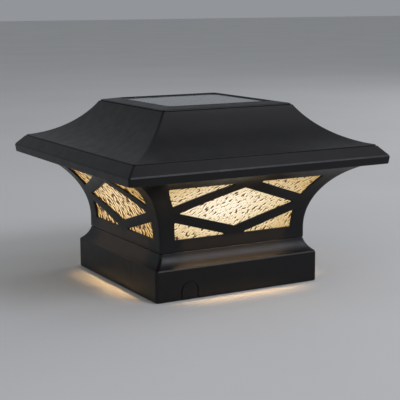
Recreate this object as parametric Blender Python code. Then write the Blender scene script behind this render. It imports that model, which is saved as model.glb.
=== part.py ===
"""A solar post cap light: a square lantern that drops over a nominal 4x4 wooden fence post.

A cast collar fits over the post's end and carries a flared lantern frame, whose four sides are diamond
lattices with curved panes of hammered glass behind them. The hipped roof holds the solar panel, and under it
a light tray with the LEDs, the battery, the switch and the control board. Two set screws in the back of the
brim hold the roof, which then lifts straight off.

Frame: metres, +Z up, the origin at the centre of the collar's mouth, the collar's rim on Z = 0 and the
lantern's front towards -Y.
"""

import collections
import math

import bmesh
import bpy
from mathutils import Matrix, Vector

MM = 0.001
GAP = 0.3 * MM  # between faces that touch in the real object
PAST = 1.0 * MM  # how far a cutter runs past a face
SIDES = ("front", "right", "back", "left")
CORNERS = ("front_right", "back_right", "back_left", "front_left")

# The post and the outside of the castings. A half is measured from the axis to a flat side.
POST_HALF = 44.5 * MM  # a dressed 4x4 is 89 mm square
COLLAR_HALF = 55.0 * MM
COLLAR_EDGE = 0.4 * MM
COVE_BOTTOM = (54.6 * MM, 18.7 * MM)
COVE_TOP = (49.2 * MM, 26.9 * MM)
COVE_RADIUS = 14.0 * MM
LANTERN_HALF = 49.2 * MM
FLARE_START = 33.0 * MM
FLARE_RADIUS = 42.7 * MM
SOFFIT = 73.9 * MM
FLANGE_HALF = 81.8 * MM
FLANGE_TOP = 77.0 * MM
BRIM_BOTTOM = 73.7 * MM
BRIM_OUTLINE = (
    (84.9 * MM, 73.7 * MM),
    (85.3 * MM, 74.1 * MM),
    (85.8 * MM, 78.4 * MM),
    (85.2 * MM, 79.2 * MM),
)
ROOF_FOOT = (79.8 * MM, 84.9 * MM)
ROOF_HEAD = (44.0 * MM, 107.9 * MM)
ROOF_RADIUS = 53.8 * MM
CROWN_OUTLINE = ((43.4 * MM, 108.3 * MM), (42.4 * MM, 108.6 * MM), (35.3 * MM, 109.8 * MM))
POCKET_HALF = 34.7 * MM
POCKET_LIP = 109.3 * MM
POCKET_FLOOR = 105.7 * MM
CAST_CORNER = 1.8 * MM
CROWN_CORNER = 3.5 * MM
CORNER_STEPS = 2

# Walls, ledges and bosses of the castings.
WALL = 3.0 * MM
LATTICE_WALL = 1.4 * MM
COLLAR_INNER = 52.5 * MM
LEDGE_HALF = 40.5 * MM
LEDGE_BOTTOM = 24.4 * MM
RIB_TOP = 31.7 * MM
BRIM_INNER = FLANGE_HALF + GAP
ROOF_LEDGE = 78.6 * MM
ROOF_LEDGE_INNER = 75.0 * MM
ROOF_CEILING = 102.7 * MM
BOSS_RADIUS = 3.0 * MM
COLLAR_BOSS_TOP = 20.8 * MM
ROOF_BOSS_TOP = 88.0 * MM
BLIND_END = 0.8 * MM  # what a blind screw hole leaves above it

# The lattice of each side, seen square on.
WINDOW_BOTTOM = 34.2 * MM
WINDOW_TOP = 66.8 * MM
STILE_WIDTH = 9.7 * MM  # the lattice's corner posts, at the bottom
STILE_WIDENING = 0.0042 / MM  # with the square of the height
DIAMOND_MIDDLE = 50.2 * MM  # the height of its side corners
DIAMOND_HALF_WIDTH = 38.8 * MM
DIAMOND_RISE = 13.1 * MM
DIAMOND_DROP = 11.3 * MM
BAR_WIDTH = 5.8 * MM
WINDOW_CORNER = 0.35 * MM

# The wire knock-out in the collar's front: an arched groove, open at the rim.
KNOCKOUT_X = -33.3 * MM
KNOCKOUT_HALF = 5.35 * MM
KNOCKOUT_HEIGHT = 10.3 * MM
GROOVE = 0.8 * MM  # its width and its depth

# Glazing.
PANE_THICKNESS = 2.0 * MM
PANE_TOP = 69.0 * MM
PANE_SIDE_GAP = 0.5 * MM
RETAINER_TOP = 71.0 * MM
RETAINER_HALF = 60.5 * MM
GASKET_INNER = 77.0 * MM
GASKET_OUTER = 80.5 * MM

# The seat plate that rests on the post, and what hangs on it.
PLATE_HALF = COLLAR_INNER - GAP
PLATE_BOTTOM = 14.2 * MM
PLATE_TOP = 16.2 * MM
PAD_HALF = POST_HALF
PAD_BOTTOM = 13.2 * MM
SLOT_INNER = 45.3 * MM
SLOT_OUTER = 49.3 * MM
SLOT_HALF_LENGTH = 32.0 * MM
LENS_LIP = 1.0 * MM
LENS_DROP = 0.6 * MM  # how far a lens strip hangs below the plate
POST_HOLE_X = 20.0 * MM
POST_HOLE = 2.2 * MM  # its radius
SPACER_INNER = POST_HALF + 0.5 * MM
SPACER_ENDS = (38.0 * MM, 51.2 * MM)
SPACER_BOTTOM = 1.0 * MM

# Screws: radius of the shank, of its clearance hole, and of the head.
SCREW = 1.25 * MM
SCREW_HOLE = SCREW + GAP
HEAD = 2.2 * MM
HEAD_HEIGHT = 1.8 * MM
SOCKET = 1.2 * MM
BASE_SCREW_LENGTH = 14.2 * MM
FRAME_SCREW_LENGTH = 6.4 * MM
TRAY_SCREW_LENGTH = 9.0 * MM
DOOR_SCREW_LENGTH = 3.6 * MM
SET_SCREW_LENGTH = 3.2 * MM
BASE_SCREW_OFFSET = 48.1 * MM
BASE_SCREW_SEAT = 5.4 * MM
FRAME_SCREW_OFFSET = 43.6 * MM
TRAY_SCREW_OFFSET = 62.0 * MM
SET_SCREW_X = 50.0 * MM
SET_SCREW_Z = 75.6 * MM

# The solar panel in the crown's pocket.
CELL_HALF = 32.6 * MM
CELL_THICKNESS = 1.4 * MM
GLASS_THICKNESS = 1.4 * MM

# The light tray and what it carries.
TRAY_HALF = 70.0 * MM
TRAY_BOTTOM = 77.0 * MM
TRAY_TOP = 79.0 * MM
TRAY_MIDDLE = (TRAY_BOTTOM + TRAY_TOP) / 2
BAY_LOW = Vector((-31.0, 13.5, 77.0)) * MM
BAY_HIGH = Vector((31.0, 30.5, 92.4)) * MM
BAY_WALL = 1.5 * MM
BATTERY_RADIUS = 7.1 * MM
BATTERY_START = -20.9 * MM
BATTERY_END = 28.1 * MM
BATTERY_Y = 22.0 * MM
BATTERY_Z = 84.7 * MM
BATTERY_NOSE = Vector((2.6, 1.5)) * MM  # radius and length
CONTACT_HALF = 5.5 * MM
SPRING_TURNS = 5
SPRING_WIRE = 0.45 * MM
SPRING_RADII = (5.0 * MM, 3.0 * MM)
HINGE = Vector((0.0, 33.0, 75.0)) * MM
BARREL = 1.6 * MM
PIN = 0.8 * MM
PIN_HOLE = PIN + GAP
BARREL_HALF = 22.5 * MM
LUG_WIDTH = 3.2 * MM
DOOR_HALF = 32.5 * MM
DOOR_FRONT = 12.0 * MM
DOOR_THICKNESS = 1.7 * MM
DOOR_TAB = Vector((22.0, 9.4)) * MM
LED_CENTRE = Vector((0.0, -4.0)) * MM
LED_BOARD_RADIUS = 12.5 * MM
LED_BOARD_THICKNESS = 1.6 * MM
LED_SPREAD = 6.0 * MM
SWITCH = Vector((44.0, -24.0)) * MM
SWITCH_TRAVEL = 3.0 * MM
SLIDER_HALF = Vector((1.5, 1.3)) * MM
SLIDER_REST = Vector((42.5, -24.0, 77.0)) * MM  # one end of the switch's travel
BOARD_CENTRE = Vector((-24.0, -36.0)) * MM
BOARD_HALF = Vector((17.0, 12.0)) * MM
BOARD_BOTTOM = 82.0 * MM
BOARD_THICKNESS = 1.6 * MM
PEG = 1.0 * MM
PEG_PLACE = BOARD_HALF - Vector((3.0, 3.0)) * MM
PILLAR = 2.2 * MM
WIRE = 0.65 * MM
WIRE_HOLE = 1.1 * MM
WIRE_HEIGHT = 89.0 * MM  # of the battery's leads, where they enter its bay
GROMMET_HOLE = 3.0 * MM

COLOURS = {
    # name: (red, green, blue, roughness, metallic)
    "black_coat": (0.030, 0.030, 0.032, 0.55, 0.3),
    "hammered_glass": (0.95, 0.78, 0.50, 0.15, 0.0),
    "steel": (0.60, 0.60, 0.58, 0.35, 1.0),
    "grey_plastic": (0.09, 0.09, 0.10, 0.6, 0.0),
    "white_plastic": (0.85, 0.84, 0.80, 0.5, 0.0),
    "frosted_plastic": (0.90, 0.88, 0.80, 0.25, 0.0),
    "rubber": (0.02, 0.02, 0.02, 0.8, 0.0),
    "solar_blue": (0.02, 0.03, 0.08, 0.3, 0.2),
    "solar_glass": (0.35, 0.37, 0.40, 0.08, 0.0),
    "green_board": (0.02, 0.16, 0.07, 0.5, 0.0),
    "white_board": (0.88, 0.88, 0.86, 0.4, 0.0),
    "battery_wrap": (0.05, 0.16, 0.42, 0.35, 0.0),
    "led_yellow": (0.95, 0.75, 0.25, 0.3, 0.0),
    "red_wire": (0.55, 0.03, 0.02, 0.45, 0.0),
    "black_wire": (0.02, 0.02, 0.02, 0.45, 0.0),
}


# ---------------------------------------------------------------- scene and objects


def clear_scene():
    for obj in list(bpy.data.objects):
        bpy.data.objects.remove(obj)


def material(name):
    found = bpy.data.materials.get(name)
    if found:
        return found
    red, green, blue, roughness, metallic = COLOURS[name]
    made = bpy.data.materials.new(name)
    made.use_nodes = True
    shader = made.node_tree.nodes["Principled BSDF"]
    shader.inputs["Base Color"].default_value = (red, green, blue, 1.0)
    shader.inputs["Roughness"].default_value = roughness
    shader.inputs["Metallic"].default_value = metallic
    made.diffuse_color = (red, green, blue, 1.0)
    return made


def add_empty(name, location=(0, 0, 0), parent=None):
    made = bpy.data.objects.new(name, None)
    bpy.context.scene.collection.objects.link(made)
    made.location = location
    made.parent = parent
    return made


def add_object(name, mesh, parent, finish, location=(0, 0, 0), rotation=(0, 0, 0)):
    made = bpy.data.objects.new(name, mesh)
    bpy.context.scene.collection.objects.link(made)
    made.parent = parent
    made.location = location
    made.rotation_euler = rotation
    if not mesh.materials:
        mesh.materials.append(material(finish))
    return made


def mesh_from(bm, name):
    bmesh.ops.recalc_face_normals(bm, faces=bm.faces)
    mesh = bpy.data.meshes.new(name)
    bm.to_mesh(mesh)
    bm.free()
    mesh.shade_smooth()
    mesh.set_sharp_from_angle(angle=math.radians(30))
    return mesh


def boolean(target, operation, bm, name):
    """Cuts the shapes in bm out of target, or joins them on, with a hidden helper object."""
    helper = bpy.data.objects.new(name, mesh_from(bm, name))
    bpy.context.scene.collection.objects.link(helper)
    helper.parent = target
    helper.hide_render = True
    helper.display_type = "WIRE"
    modifier = target.modifiers.new(name, "BOOLEAN")
    modifier.operation = operation
    modifier.object = helper


def quarter_turn(index):
    return Matrix.Rotation(index * math.pi / 2, 4, "Z")


def corner_places(offset, z):
    """The four corner places at that distance from both middle planes, in the order of CORNERS."""
    return [quarter_turn(i) @ Vector((offset, -offset, z)) for i in range(len(CORNERS))]


# ---------------------------------------------------------------- shapes


def add_box(bm, low, high):
    low, high = Vector(low), Vector(high)
    place = Matrix.Translation((low + high) / 2) @ Matrix.Diagonal((*(high - low), 1))
    bmesh.ops.create_cube(bm, size=1, matrix=place)


def add_cylinder(bm, centre, radius, bottom, top, segments=16, axis="Z"):
    """A cylinder from bottom to top along an axis through centre."""
    turn = {
        "Z": Matrix.Identity(4),
        "X": Matrix.Rotation(math.pi / 2, 4, "Y"),
        "Y": Matrix.Rotation(-math.pi / 2, 4, "X"),
    }[axis]
    middle = Matrix.Translation((0, 0, (bottom + top) / 2))
    place = Matrix.Translation(Vector(centre).to_3d()) @ turn @ middle
    bmesh.ops.create_cone(
        bm, cap_ends=True, segments=segments, radius1=radius, radius2=radius, depth=top - bottom, matrix=place
    )


def bridge(bm, first, second):
    for i in range(len(first)):
        j = (i + 1) % len(first)
        bm.faces.new((first[i], first[j], second[j], second[i]))


def add_loft(bm, rings, closed=False):
    """Joins rings of points, each to the next. An open loft has its two ends filled in."""
    loops = [[bm.verts.new(point) for point in ring] for ring in rings]
    for lower, upper in zip(loops, loops[1:]):
        bridge(bm, lower, upper)
    if closed:
        bridge(bm, loops[-1], loops[0])
    else:
        bm.faces.new(loops[0])
        bm.faces.new(loops[-1])


def add_prism(bm, outline, start, end, axis="Y"):
    """Extrudes an outline of (across, up) points along Y or X."""
    place = {
        "Y": lambda across, up, along: Vector((across, along, up)),
        "X": lambda across, up, along: Vector((along, -across, up)),
    }[axis]
    add_loft(bm, [[place(across, up, along) for across, up in outline] for along in (start, end)])


def square_ring(half, z, radius):
    """Points round a square of that half width, with round corners."""
    points = []
    for corner in range(len(CORNERS)):
        turn = quarter_turn(corner)
        centre = turn @ Vector((half - radius, -half + radius, z))
        for step in range(CORNER_STEPS + 1):
            angle = (step / CORNER_STEPS - 1) * math.pi / 2
            arm = Vector((radius * math.cos(angle), radius * math.sin(angle), 0))
            points.append(centre + turn @ arm)
    return points


def add_square_sweep(bm, profile, radius, closed=False):
    """Sweeps a profile of (half, z) points round a square. radius is that of its corners, or its function."""
    rings = []
    for half, z in profile:
        rings.append(square_ring(half, z, radius(half) if callable(radius) else radius))
    add_loft(bm, rings, closed)


def add_turned(bm, centre, profile, segments):
    """Turns an open profile of (radius, z) points about a vertical axis, and fills in both its ends."""
    rings = []
    for radius, z in profile:
        ring = []
        for k in range(segments):
            angle = 2 * math.pi * k / segments
            x, y = centre[0] + radius * math.cos(angle), centre[1] + radius * math.sin(angle)
            ring.append(Vector((x, y, z)))
        rings.append(ring)
    add_loft(bm, rings)


def rounded(outline, radius, steps=2):
    """Rounds the corners of an outline of straight edges."""
    points = []
    for i, corner in enumerate(outline):
        corner = Vector(corner)
        before = (Vector(outline[i - 1]) - corner).normalized()
        after = (Vector(outline[(i + 1) % len(outline)]) - corner).normalized()
        half_angle = before.angle(after) / 2
        reach = radius / math.sin(half_angle)
        centre = corner + (before + after).normalized() * reach
        first = corner + before * radius / math.tan(half_angle) - centre
        last = corner + after * radius / math.tan(half_angle) - centre
        for step in range(steps + 1):
            points.append(centre + first.lerp(last, step / steps).normalized() * radius)
    return points


# A hollow moulding's arc in the (half, z) plane. It is the side of the circle that is nearer to the axis.
Arc = collections.namedtuple("Arc", "half z radius")


def arc_through(low, high, radius):
    low, high = Vector(low), Vector(high)
    chord = high - low
    outward = Vector((chord.y, -chord.x)).normalized()
    centre = (low + high) / 2 + outward * math.sqrt(radius**2 - chord.length_squared / 4)
    return Arc(centre.x, centre.y, radius)


def arc_half(arc, z, depth=0.0):
    """The arc's half width at height z, on the surface that lies depth inside it."""
    return arc.half - math.sqrt((arc.radius + depth) ** 2 - (z - arc.z) ** 2)


def arc_height(arc, half, depth=0.0):
    """The arc's height at that half width, on its lower part."""
    return arc.z - math.sqrt((arc.radius + depth) ** 2 - (arc.half - half) ** 2)


def arc_points(arc, bottom, top, depth=0.0, steps=9):
    reach = arc.radius + depth
    first = math.asin((bottom - arc.z) / reach)
    last = math.asin((top - arc.z) / reach)
    points = []
    for step in range(steps + 1):
        angle = first + (last - first) * step / steps
        points.append((arc.half - reach * math.cos(angle), arc.z + reach * math.sin(angle)))
    return points


COVE = arc_through(COVE_BOTTOM, COVE_TOP, COVE_RADIUS)
FLARE = Arc(LANTERN_HALF + FLARE_RADIUS, FLARE_START, FLARE_RADIUS)
SLOPE = arc_through(ROOF_FOOT, ROOF_HEAD, ROOF_RADIUS)


def flare_half(z, depth=0.0):
    """The lantern's half width at height z, upright below the flare."""
    return arc_half(FLARE, max(z, FLARE_START), depth)


def roof_corner(half):
    """The roof's corners are rounder at the crown than at the brim."""
    share = (half - ROOF_HEAD[0]) / (ROOF_FOOT[0] - ROOF_HEAD[0])
    return CROWN_CORNER + (CAST_CORNER - CROWN_CORNER) * min(1.0, max(0.0, share))


def screw_mesh(name, length):
    """A socket-head screw that points up, with the seat of its head at Z = 0."""
    bm = bmesh.new()
    profile = [
        (SOCKET, -HEAD_HEIGHT / 3),
        (SOCKET, -HEAD_HEIGHT),
        (HEAD, -HEAD_HEIGHT),
        (HEAD, 0.0),
        (SCREW, 0.0),
        (SCREW, length - SCREW / 2),
        (SCREW / 2, length),
    ]
    add_turned(bm, (0, 0), profile, 12)
    return mesh_from(bm, name)


# ---------------------------------------------------------------- collar and seat


def make_base_collar(root):
    profile = [(COLLAR_HALF - COLLAR_EDGE, 0.0), (COLLAR_HALF, COLLAR_EDGE)]
    profile += [(COLLAR_HALF, COVE_BOTTOM[1] - 2 * COLLAR_EDGE)]
    profile += arc_points(COVE, COVE_BOTTOM[1], COVE_TOP[1], steps=4)
    profile += [(LEDGE_HALF, COVE_TOP[1]), (LEDGE_HALF, LEDGE_BOTTOM)]
    lining_foot = arc_height(COVE, COLLAR_INNER, WALL)
    profile += reversed(arc_points(COVE, lining_foot, LEDGE_BOTTOM, WALL, steps=3))
    profile += [(COLLAR_INNER, 0.0)]
    bm = bmesh.new()
    add_square_sweep(bm, profile, CAST_CORNER, closed=True)
    collar = add_object("base_collar", mesh_from(bm, "base_collar"), root, "black_coat")

    bosses, holes = bmesh.new(), bmesh.new()
    boss_bottom = PLATE_TOP + GAP
    for place in corner_places(BASE_SCREW_OFFSET, 0.0):
        add_cylinder(bosses, place, BOSS_RADIUS, boss_bottom, COLLAR_BOSS_TOP)
        add_cylinder(holes, place, SCREW_HOLE, boss_bottom - PAST, COLLAR_BOSS_TOP - BLIND_END, 12)
    for place in corner_places(FRAME_SCREW_OFFSET, 0.0):
        add_cylinder(holes, place, SCREW_HOLE, LEDGE_BOTTOM - PAST, COVE_TOP[1] + PAST, 12)
    boolean(collar, "UNION", bosses, "collar_bosses")
    boolean(collar, "DIFFERENCE", holes, "collar_holes")

    groove = bmesh.new()
    depth_range = (-COLLAR_HALF - PAST, -COLLAR_HALF + GROOVE)
    add_prism(groove, knockout_outline(), *depth_range)
    boolean(collar, "DIFFERENCE", groove, "knockout_groove")


def knockout_outline():
    """The arched groove's outline: out over the arch, and back along its inner edge."""
    spring = KNOCKOUT_HEIGHT - KNOCKOUT_HALF
    steps = 8
    outline = []
    for radius, order in ((KNOCKOUT_HALF + GROOVE / 2, 1), (KNOCKOUT_HALF - GROOVE / 2, -1)):
        edge = [(KNOCKOUT_X - radius, -PAST)]
        for step in range(steps + 1):
            angle = math.pi * (1 - step / steps)
            edge.append((KNOCKOUT_X + radius * math.cos(angle), spring + radius * math.sin(angle)))
        edge.append((KNOCKOUT_X + radius, -PAST))
        outline += edge[::order]
    return outline


def make_seat_plate(root):
    bm = bmesh.new()
    profile = [(PAD_HALF, PAD_BOTTOM), (PAD_HALF, PLATE_BOTTOM)]
    profile += [(PLATE_HALF, PLATE_BOTTOM), (PLATE_HALF, PLATE_TOP)]
    add_square_sweep(bm, profile, CAST_CORNER)
    plate = add_object("seat_plate", mesh_from(bm, "seat_plate"), root, "steel")
    cuts = bmesh.new()
    below, above = PAD_BOTTOM - PAST, PLATE_TOP + PAST
    for place in corner_places(BASE_SCREW_OFFSET, 0.0):
        add_cylinder(cuts, place, SCREW_HOLE, below, above, 12)
    for x in (-POST_HOLE_X, POST_HOLE_X):
        add_cylinder(cuts, (x, 0), POST_HOLE, below, above, 12)
    slot_size = Matrix.Diagonal((2 * SLOT_HALF_LENGTH, SLOT_OUTER - SLOT_INNER, above - below, 1))
    slot_middle = Matrix.Translation((0, -(SLOT_INNER + SLOT_OUTER) / 2, (below + above) / 2))
    for side in range(len(SIDES)):
        bmesh.ops.create_cube(cuts, size=1, matrix=quarter_turn(side) @ slot_middle @ slot_size)
    boolean(plate, "DIFFERENCE", cuts, "seat_plate_cuts")


def make_downlight_lenses(root):
    """A strip of frosted plastic in each slot of the seat plate, with a lip that rests on the plate."""
    for side, name in enumerate(SIDES):
        bm = bmesh.new()
        lip_bottom = PLATE_TOP + GAP
        inner, outer = SLOT_INNER + GAP, SLOT_OUTER - GAP
        ends = SLOT_HALF_LENGTH - GAP
        section = [
            (inner, PLATE_BOTTOM - LENS_DROP),
            (outer, PLATE_BOTTOM - LENS_DROP),
            (outer, lip_bottom),
            (outer + LENS_LIP, lip_bottom),
            (outer + LENS_LIP, lip_bottom + LENS_LIP),
            (inner - LENS_LIP, lip_bottom + LENS_LIP),
            (inner - LENS_LIP, lip_bottom),
            (inner, lip_bottom),
        ]
        add_loft(bm, [[Vector((x, -half, z)) for half, z in section] for x in (-ends, ends)])
        bm.transform(quarter_turn(side))
        add_object("downlight_lens_" + name, mesh_from(bm, "downlight_lens_" + name), root, "frosted_plastic")


def make_post_spacers(root):
    """Blocks that centre the post, one against each of its faces, near a corner. A base screw holds each."""
    bm = bmesh.new()
    top = PLATE_BOTTOM - GAP
    lead_in = 1.5 * MM
    section = [
        (PLATE_HALF, SPACER_BOTTOM),
        (PLATE_HALF, top),
        (SPACER_INNER, top),
        (SPACER_INNER, SPACER_BOTTOM + 2 * lead_in),
        (SPACER_INNER + lead_in, SPACER_BOTTOM),
    ]
    add_loft(bm, [[Vector((x, -half, z)) for half, z in section] for x in SPACER_ENDS])
    mesh = mesh_from(bm, "post_spacer")
    for side, name in enumerate(SIDES):
        turn = (0, 0, side * math.pi / 2)
        spacer = add_object("post_spacer_" + name, mesh, root, "grey_plastic", rotation=turn)
        bore = bmesh.new()
        place = (BASE_SCREW_OFFSET, -BASE_SCREW_OFFSET)
        profile = [
            (HEAD + GAP, 0.0),
            (HEAD + GAP, BASE_SCREW_SEAT + GAP),
            (SCREW_HOLE, BASE_SCREW_SEAT + GAP),
            (SCREW_HOLE, top + PAST),
        ]
        add_turned(bore, place, profile, 12)
        boolean(spacer, "DIFFERENCE", bore, "spacer_bore_" + name)


def make_base_screws(root):
    mesh = screw_mesh("base_screw", BASE_SCREW_LENGTH)
    for place, name in zip(corner_places(BASE_SCREW_OFFSET, BASE_SCREW_SEAT), CORNERS):
        add_object("base_screw_" + name, mesh, root, "steel", place)


# ---------------------------------------------------------------- lantern


def stile_edge(z):
    """How far from the middle of a side its windows reach at height z."""
    return flare_half(z) - STILE_WIDTH - STILE_WIDENING * (z - WINDOW_BOTTOM) ** 2


def window_outlines():
    """The diamond, and the four corner triangles round it, of one side."""
    middle, across = DIAMOND_MIDDLE, DIAMOND_HALF_WIDTH
    top, bottom = middle + DIAMOND_RISE, middle - DIAMOND_DROP
    outlines = [[(across, middle), (0, top), (-across, middle), (0, bottom)]]
    for edge, turn, reach in ((WINDOW_TOP, 1, DIAMOND_RISE), (WINDOW_BOTTOM, -1, DIAMOND_DROP)):
        slope = reach / across
        bar = BAR_WIDTH * math.sqrt(1 + slope**2)  # its width measured upright
        peak = middle + turn * (reach + bar)
        inner_x = abs(peak - edge) / slope
        side_z = peak
        for _ in range(6):  # closes in on where the bar's edge meets the stile
            side_z = peak - turn * slope * stile_edge(side_z)
        corner = [(inner_x, edge), (stile_edge(edge), edge), (stile_edge(side_z), side_z)]
        outlines += [corner, [(-x, z) for x, z in corner]]
    return [rounded(outline, WINDOW_CORNER) for outline in outlines]


def make_lantern_frame(root):
    bottom = COVE_TOP[1] + GAP
    profile = [(LANTERN_HALF, bottom)] + arc_points(FLARE, FLARE_START, SOFFIT)
    profile += [(FLANGE_HALF, SOFFIT), (FLANGE_HALF, FLANGE_TOP)]
    profile += [(flare_half(SOFFIT, LATTICE_WALL), FLANGE_TOP)]
    profile += reversed(arc_points(FLARE, FLARE_START, SOFFIT, LATTICE_WALL))
    profile += [(LANTERN_HALF - LATTICE_WALL, RIB_TOP), (LEDGE_HALF, RIB_TOP), (LEDGE_HALF, bottom)]
    bm = bmesh.new()
    add_square_sweep(bm, profile, CAST_CORNER / 2, closed=True)
    frame = add_object("lantern_frame", mesh_from(bm, "lantern_frame"), root, "black_coat")
    reach = FLANGE_HALF + PAST
    for axis in ("X", "Y"):
        windows = bmesh.new()
        for outline in window_outlines():
            add_prism(windows, outline, -reach, reach, axis)
        boolean(frame, "DIFFERENCE", windows, "windows_along_" + axis.lower())
    holes = bmesh.new()
    for place in corner_places(FRAME_SCREW_OFFSET, 0.0):
        add_cylinder(holes, place, SCREW_HOLE, bottom - PAST, RIB_TOP - BLIND_END, 12)
    boolean(frame, "DIFFERENCE", holes, "frame_screw_holes")


def make_frame_screws(root):
    mesh = screw_mesh("frame_screw", FRAME_SCREW_LENGTH)
    for place, name in zip(corner_places(FRAME_SCREW_OFFSET, LEDGE_BOTTOM - GAP), CORNERS):
        add_object("frame_screw_" + name, mesh, root, "steel", place)


def make_panes(root):
    """A pane stands on the frame's rib and follows the flare, inside its lattice."""
    outer_depth = LATTICE_WALL + GAP
    inner_depth = outer_depth + PANE_THICKNESS
    foot = RIB_TOP + GAP
    rings = []
    levels = [foot] + [FLARE_START + (PANE_TOP - FLARE_START) * step / 8 for step in range(9)]
    for z in levels:
        outer, inner = flare_half(z, outer_depth), flare_half(z, inner_depth)
        width = inner - PANE_SIDE_GAP
        rings.append([(width, -outer, z), (-width, -outer, z), (-width, -inner, z), (width, -inner, z)])
    bm = bmesh.new()
    add_loft(bm, rings)
    mesh = mesh_from(bm, "pane")
    for side, name in enumerate(SIDES):
        add_object("pane_" + name, mesh, root, "hammered_glass", rotation=(0, 0, side * math.pi / 2))


def make_pane_retainer(root):
    """A square ring that sits on the panes' top edges."""
    bottom = PANE_TOP + GAP
    profile = [
        (RETAINER_HALF, bottom),
        (flare_half(bottom, LATTICE_WALL + GAP), bottom),
        (flare_half(RETAINER_TOP, LATTICE_WALL + GAP), RETAINER_TOP),
        (RETAINER_HALF, RETAINER_TOP),
    ]
    bm = bmesh.new()
    add_square_sweep(bm, profile, CAST_CORNER, closed=True)
    add_object("pane_retainer", mesh_from(bm, "pane_retainer"), root, "grey_plastic")


def make_roof_gasket(root):
    bottom, top = FLANGE_TOP + GAP, ROOF_LEDGE - GAP
    bm = bmesh.new()
    profile = [(GASKET_INNER, bottom), (GASKET_OUTER, bottom), (GASKET_OUTER, top), (GASKET_INNER, top)]
    add_square_sweep(bm, profile, CAST_CORNER, closed=True)
    add_object("roof_gasket", mesh_from(bm, "roof_gasket"), root, "rubber")


# ---------------------------------------------------------------- roof


def make_roof_shell(roof):
    profile = [(POCKET_HALF, POCKET_FLOOR), (POCKET_HALF, POCKET_LIP)]
    profile += reversed(CROWN_OUTLINE)
    profile += reversed(arc_points(SLOPE, ROOF_FOOT[1], ROOF_HEAD[1]))
    profile += reversed(BRIM_OUTLINE)
    profile += [(BRIM_INNER, BRIM_BOTTOM), (BRIM_INNER, ROOF_LEDGE), (ROOF_LEDGE_INNER, ROOF_LEDGE)]
    lining_foot = arc_height(SLOPE, ROOF_LEDGE_INNER, WALL)
    profile += arc_points(SLOPE, lining_foot, ROOF_CEILING, WALL)
    bm = bmesh.new()
    add_square_sweep(bm, profile, roof_corner)
    shell = add_object("roof_shell", mesh_from(bm, "roof_shell"), roof, "black_coat")

    bosses, holes = bmesh.new(), bmesh.new()
    boss_bottom = TRAY_TOP + GAP
    for place in corner_places(TRAY_SCREW_OFFSET, 0.0):
        add_cylinder(bosses, place, BOSS_RADIUS, boss_bottom, ROOF_BOSS_TOP)
        add_cylinder(holes, place, SCREW_HOLE, boss_bottom - PAST, ROOF_BOSS_TOP - BLIND_END, 12)
    boolean(shell, "UNION", bosses, "roof_bosses")
    add_cylinder(holes, (0, 0), GROMMET_HOLE, ROOF_CEILING - PAST, POCKET_FLOOR + PAST)
    for x in (-SET_SCREW_X, SET_SCREW_X):
        through = (BRIM_INNER - PAST, BRIM_OUTLINE[2][0] + PAST)
        add_cylinder(holes, (x, 0, SET_SCREW_Z), SCREW_HOLE, *through, 12, axis="Y")
    boolean(shell, "DIFFERENCE", holes, "roof_holes")


def make_set_screws(roof):
    """Headless screws that pass through the back of the brim and bear on the frame's flange."""
    length = SET_SCREW_LENGTH
    bm = bmesh.new()
    profile = [(SCREW / 2, length / 3), (SCREW / 2, 0.0), (SCREW, 0.0)]
    profile += [(SCREW, length - 0.4 * MM), (SCREW / 2, length)]
    add_turned(bm, (0, 0), profile, 12)
    mesh = mesh_from(bm, "roof_set_screw")
    for x, name in ((-SET_SCREW_X, "left"), (SET_SCREW_X, "right")):
        place = (x, BRIM_INNER + GAP + length, SET_SCREW_Z)
        turn = (math.pi / 2, 0, 0)
        add_object("roof_set_screw_" + name, mesh, roof, "steel", place, turn)


def make_solar_panel(roof):
    floor = POCKET_FLOOR + GAP
    bm = bmesh.new()
    add_square_sweep(bm, [(CELL_HALF, floor), (CELL_HALF, floor + CELL_THICKNESS)], CROWN_CORNER)
    add_object("solar_cell_board", mesh_from(bm, "solar_cell_board"), roof, "solar_blue")

    inner, outer = CELL_HALF + GAP, POCKET_HALF - GAP
    top = floor + CELL_THICKNESS
    bm = bmesh.new()
    profile = [(inner, floor), (outer, floor), (outer, top), (inner, top)]
    add_square_sweep(bm, profile, CROWN_CORNER, closed=True)
    add_object("panel_seal", mesh_from(bm, "panel_seal"), roof, "rubber")

    bottom = top + GAP
    bm = bmesh.new()
    top = bottom + GLASS_THICKNESS
    add_square_sweep(bm, [(outer, bottom), (outer, top - GAP), (outer - GAP, top)], CROWN_CORNER)
    add_object("solar_glass", mesh_from(bm, "solar_glass"), roof, "solar_glass")


def make_lead_grommet(roof):
    bore, body, flange = 1.8 * MM, GROMMET_HOLE - GAP, 4.2 * MM
    bottom, ceiling, top = 101.0 * MM, ROOF_CEILING - GAP, POCKET_FLOOR
    profile = [(bore, bottom), (flange, bottom), (flange, ceiling), (body, ceiling), (body, top), (bore, top)]
    rings = []
    segments = 16
    for k in range(segments):
        turn = Matrix.Rotation(2 * math.pi * k / segments, 4, "Z")
        rings.append([turn @ Vector((radius, 0, z)) for radius, z in profile])
    bm = bmesh.new()
    add_loft(bm, rings, closed=True)
    add_object("lead_grommet", mesh_from(bm, "lead_grommet"), roof, "rubber")


# ---------------------------------------------------------------- light tray


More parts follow.
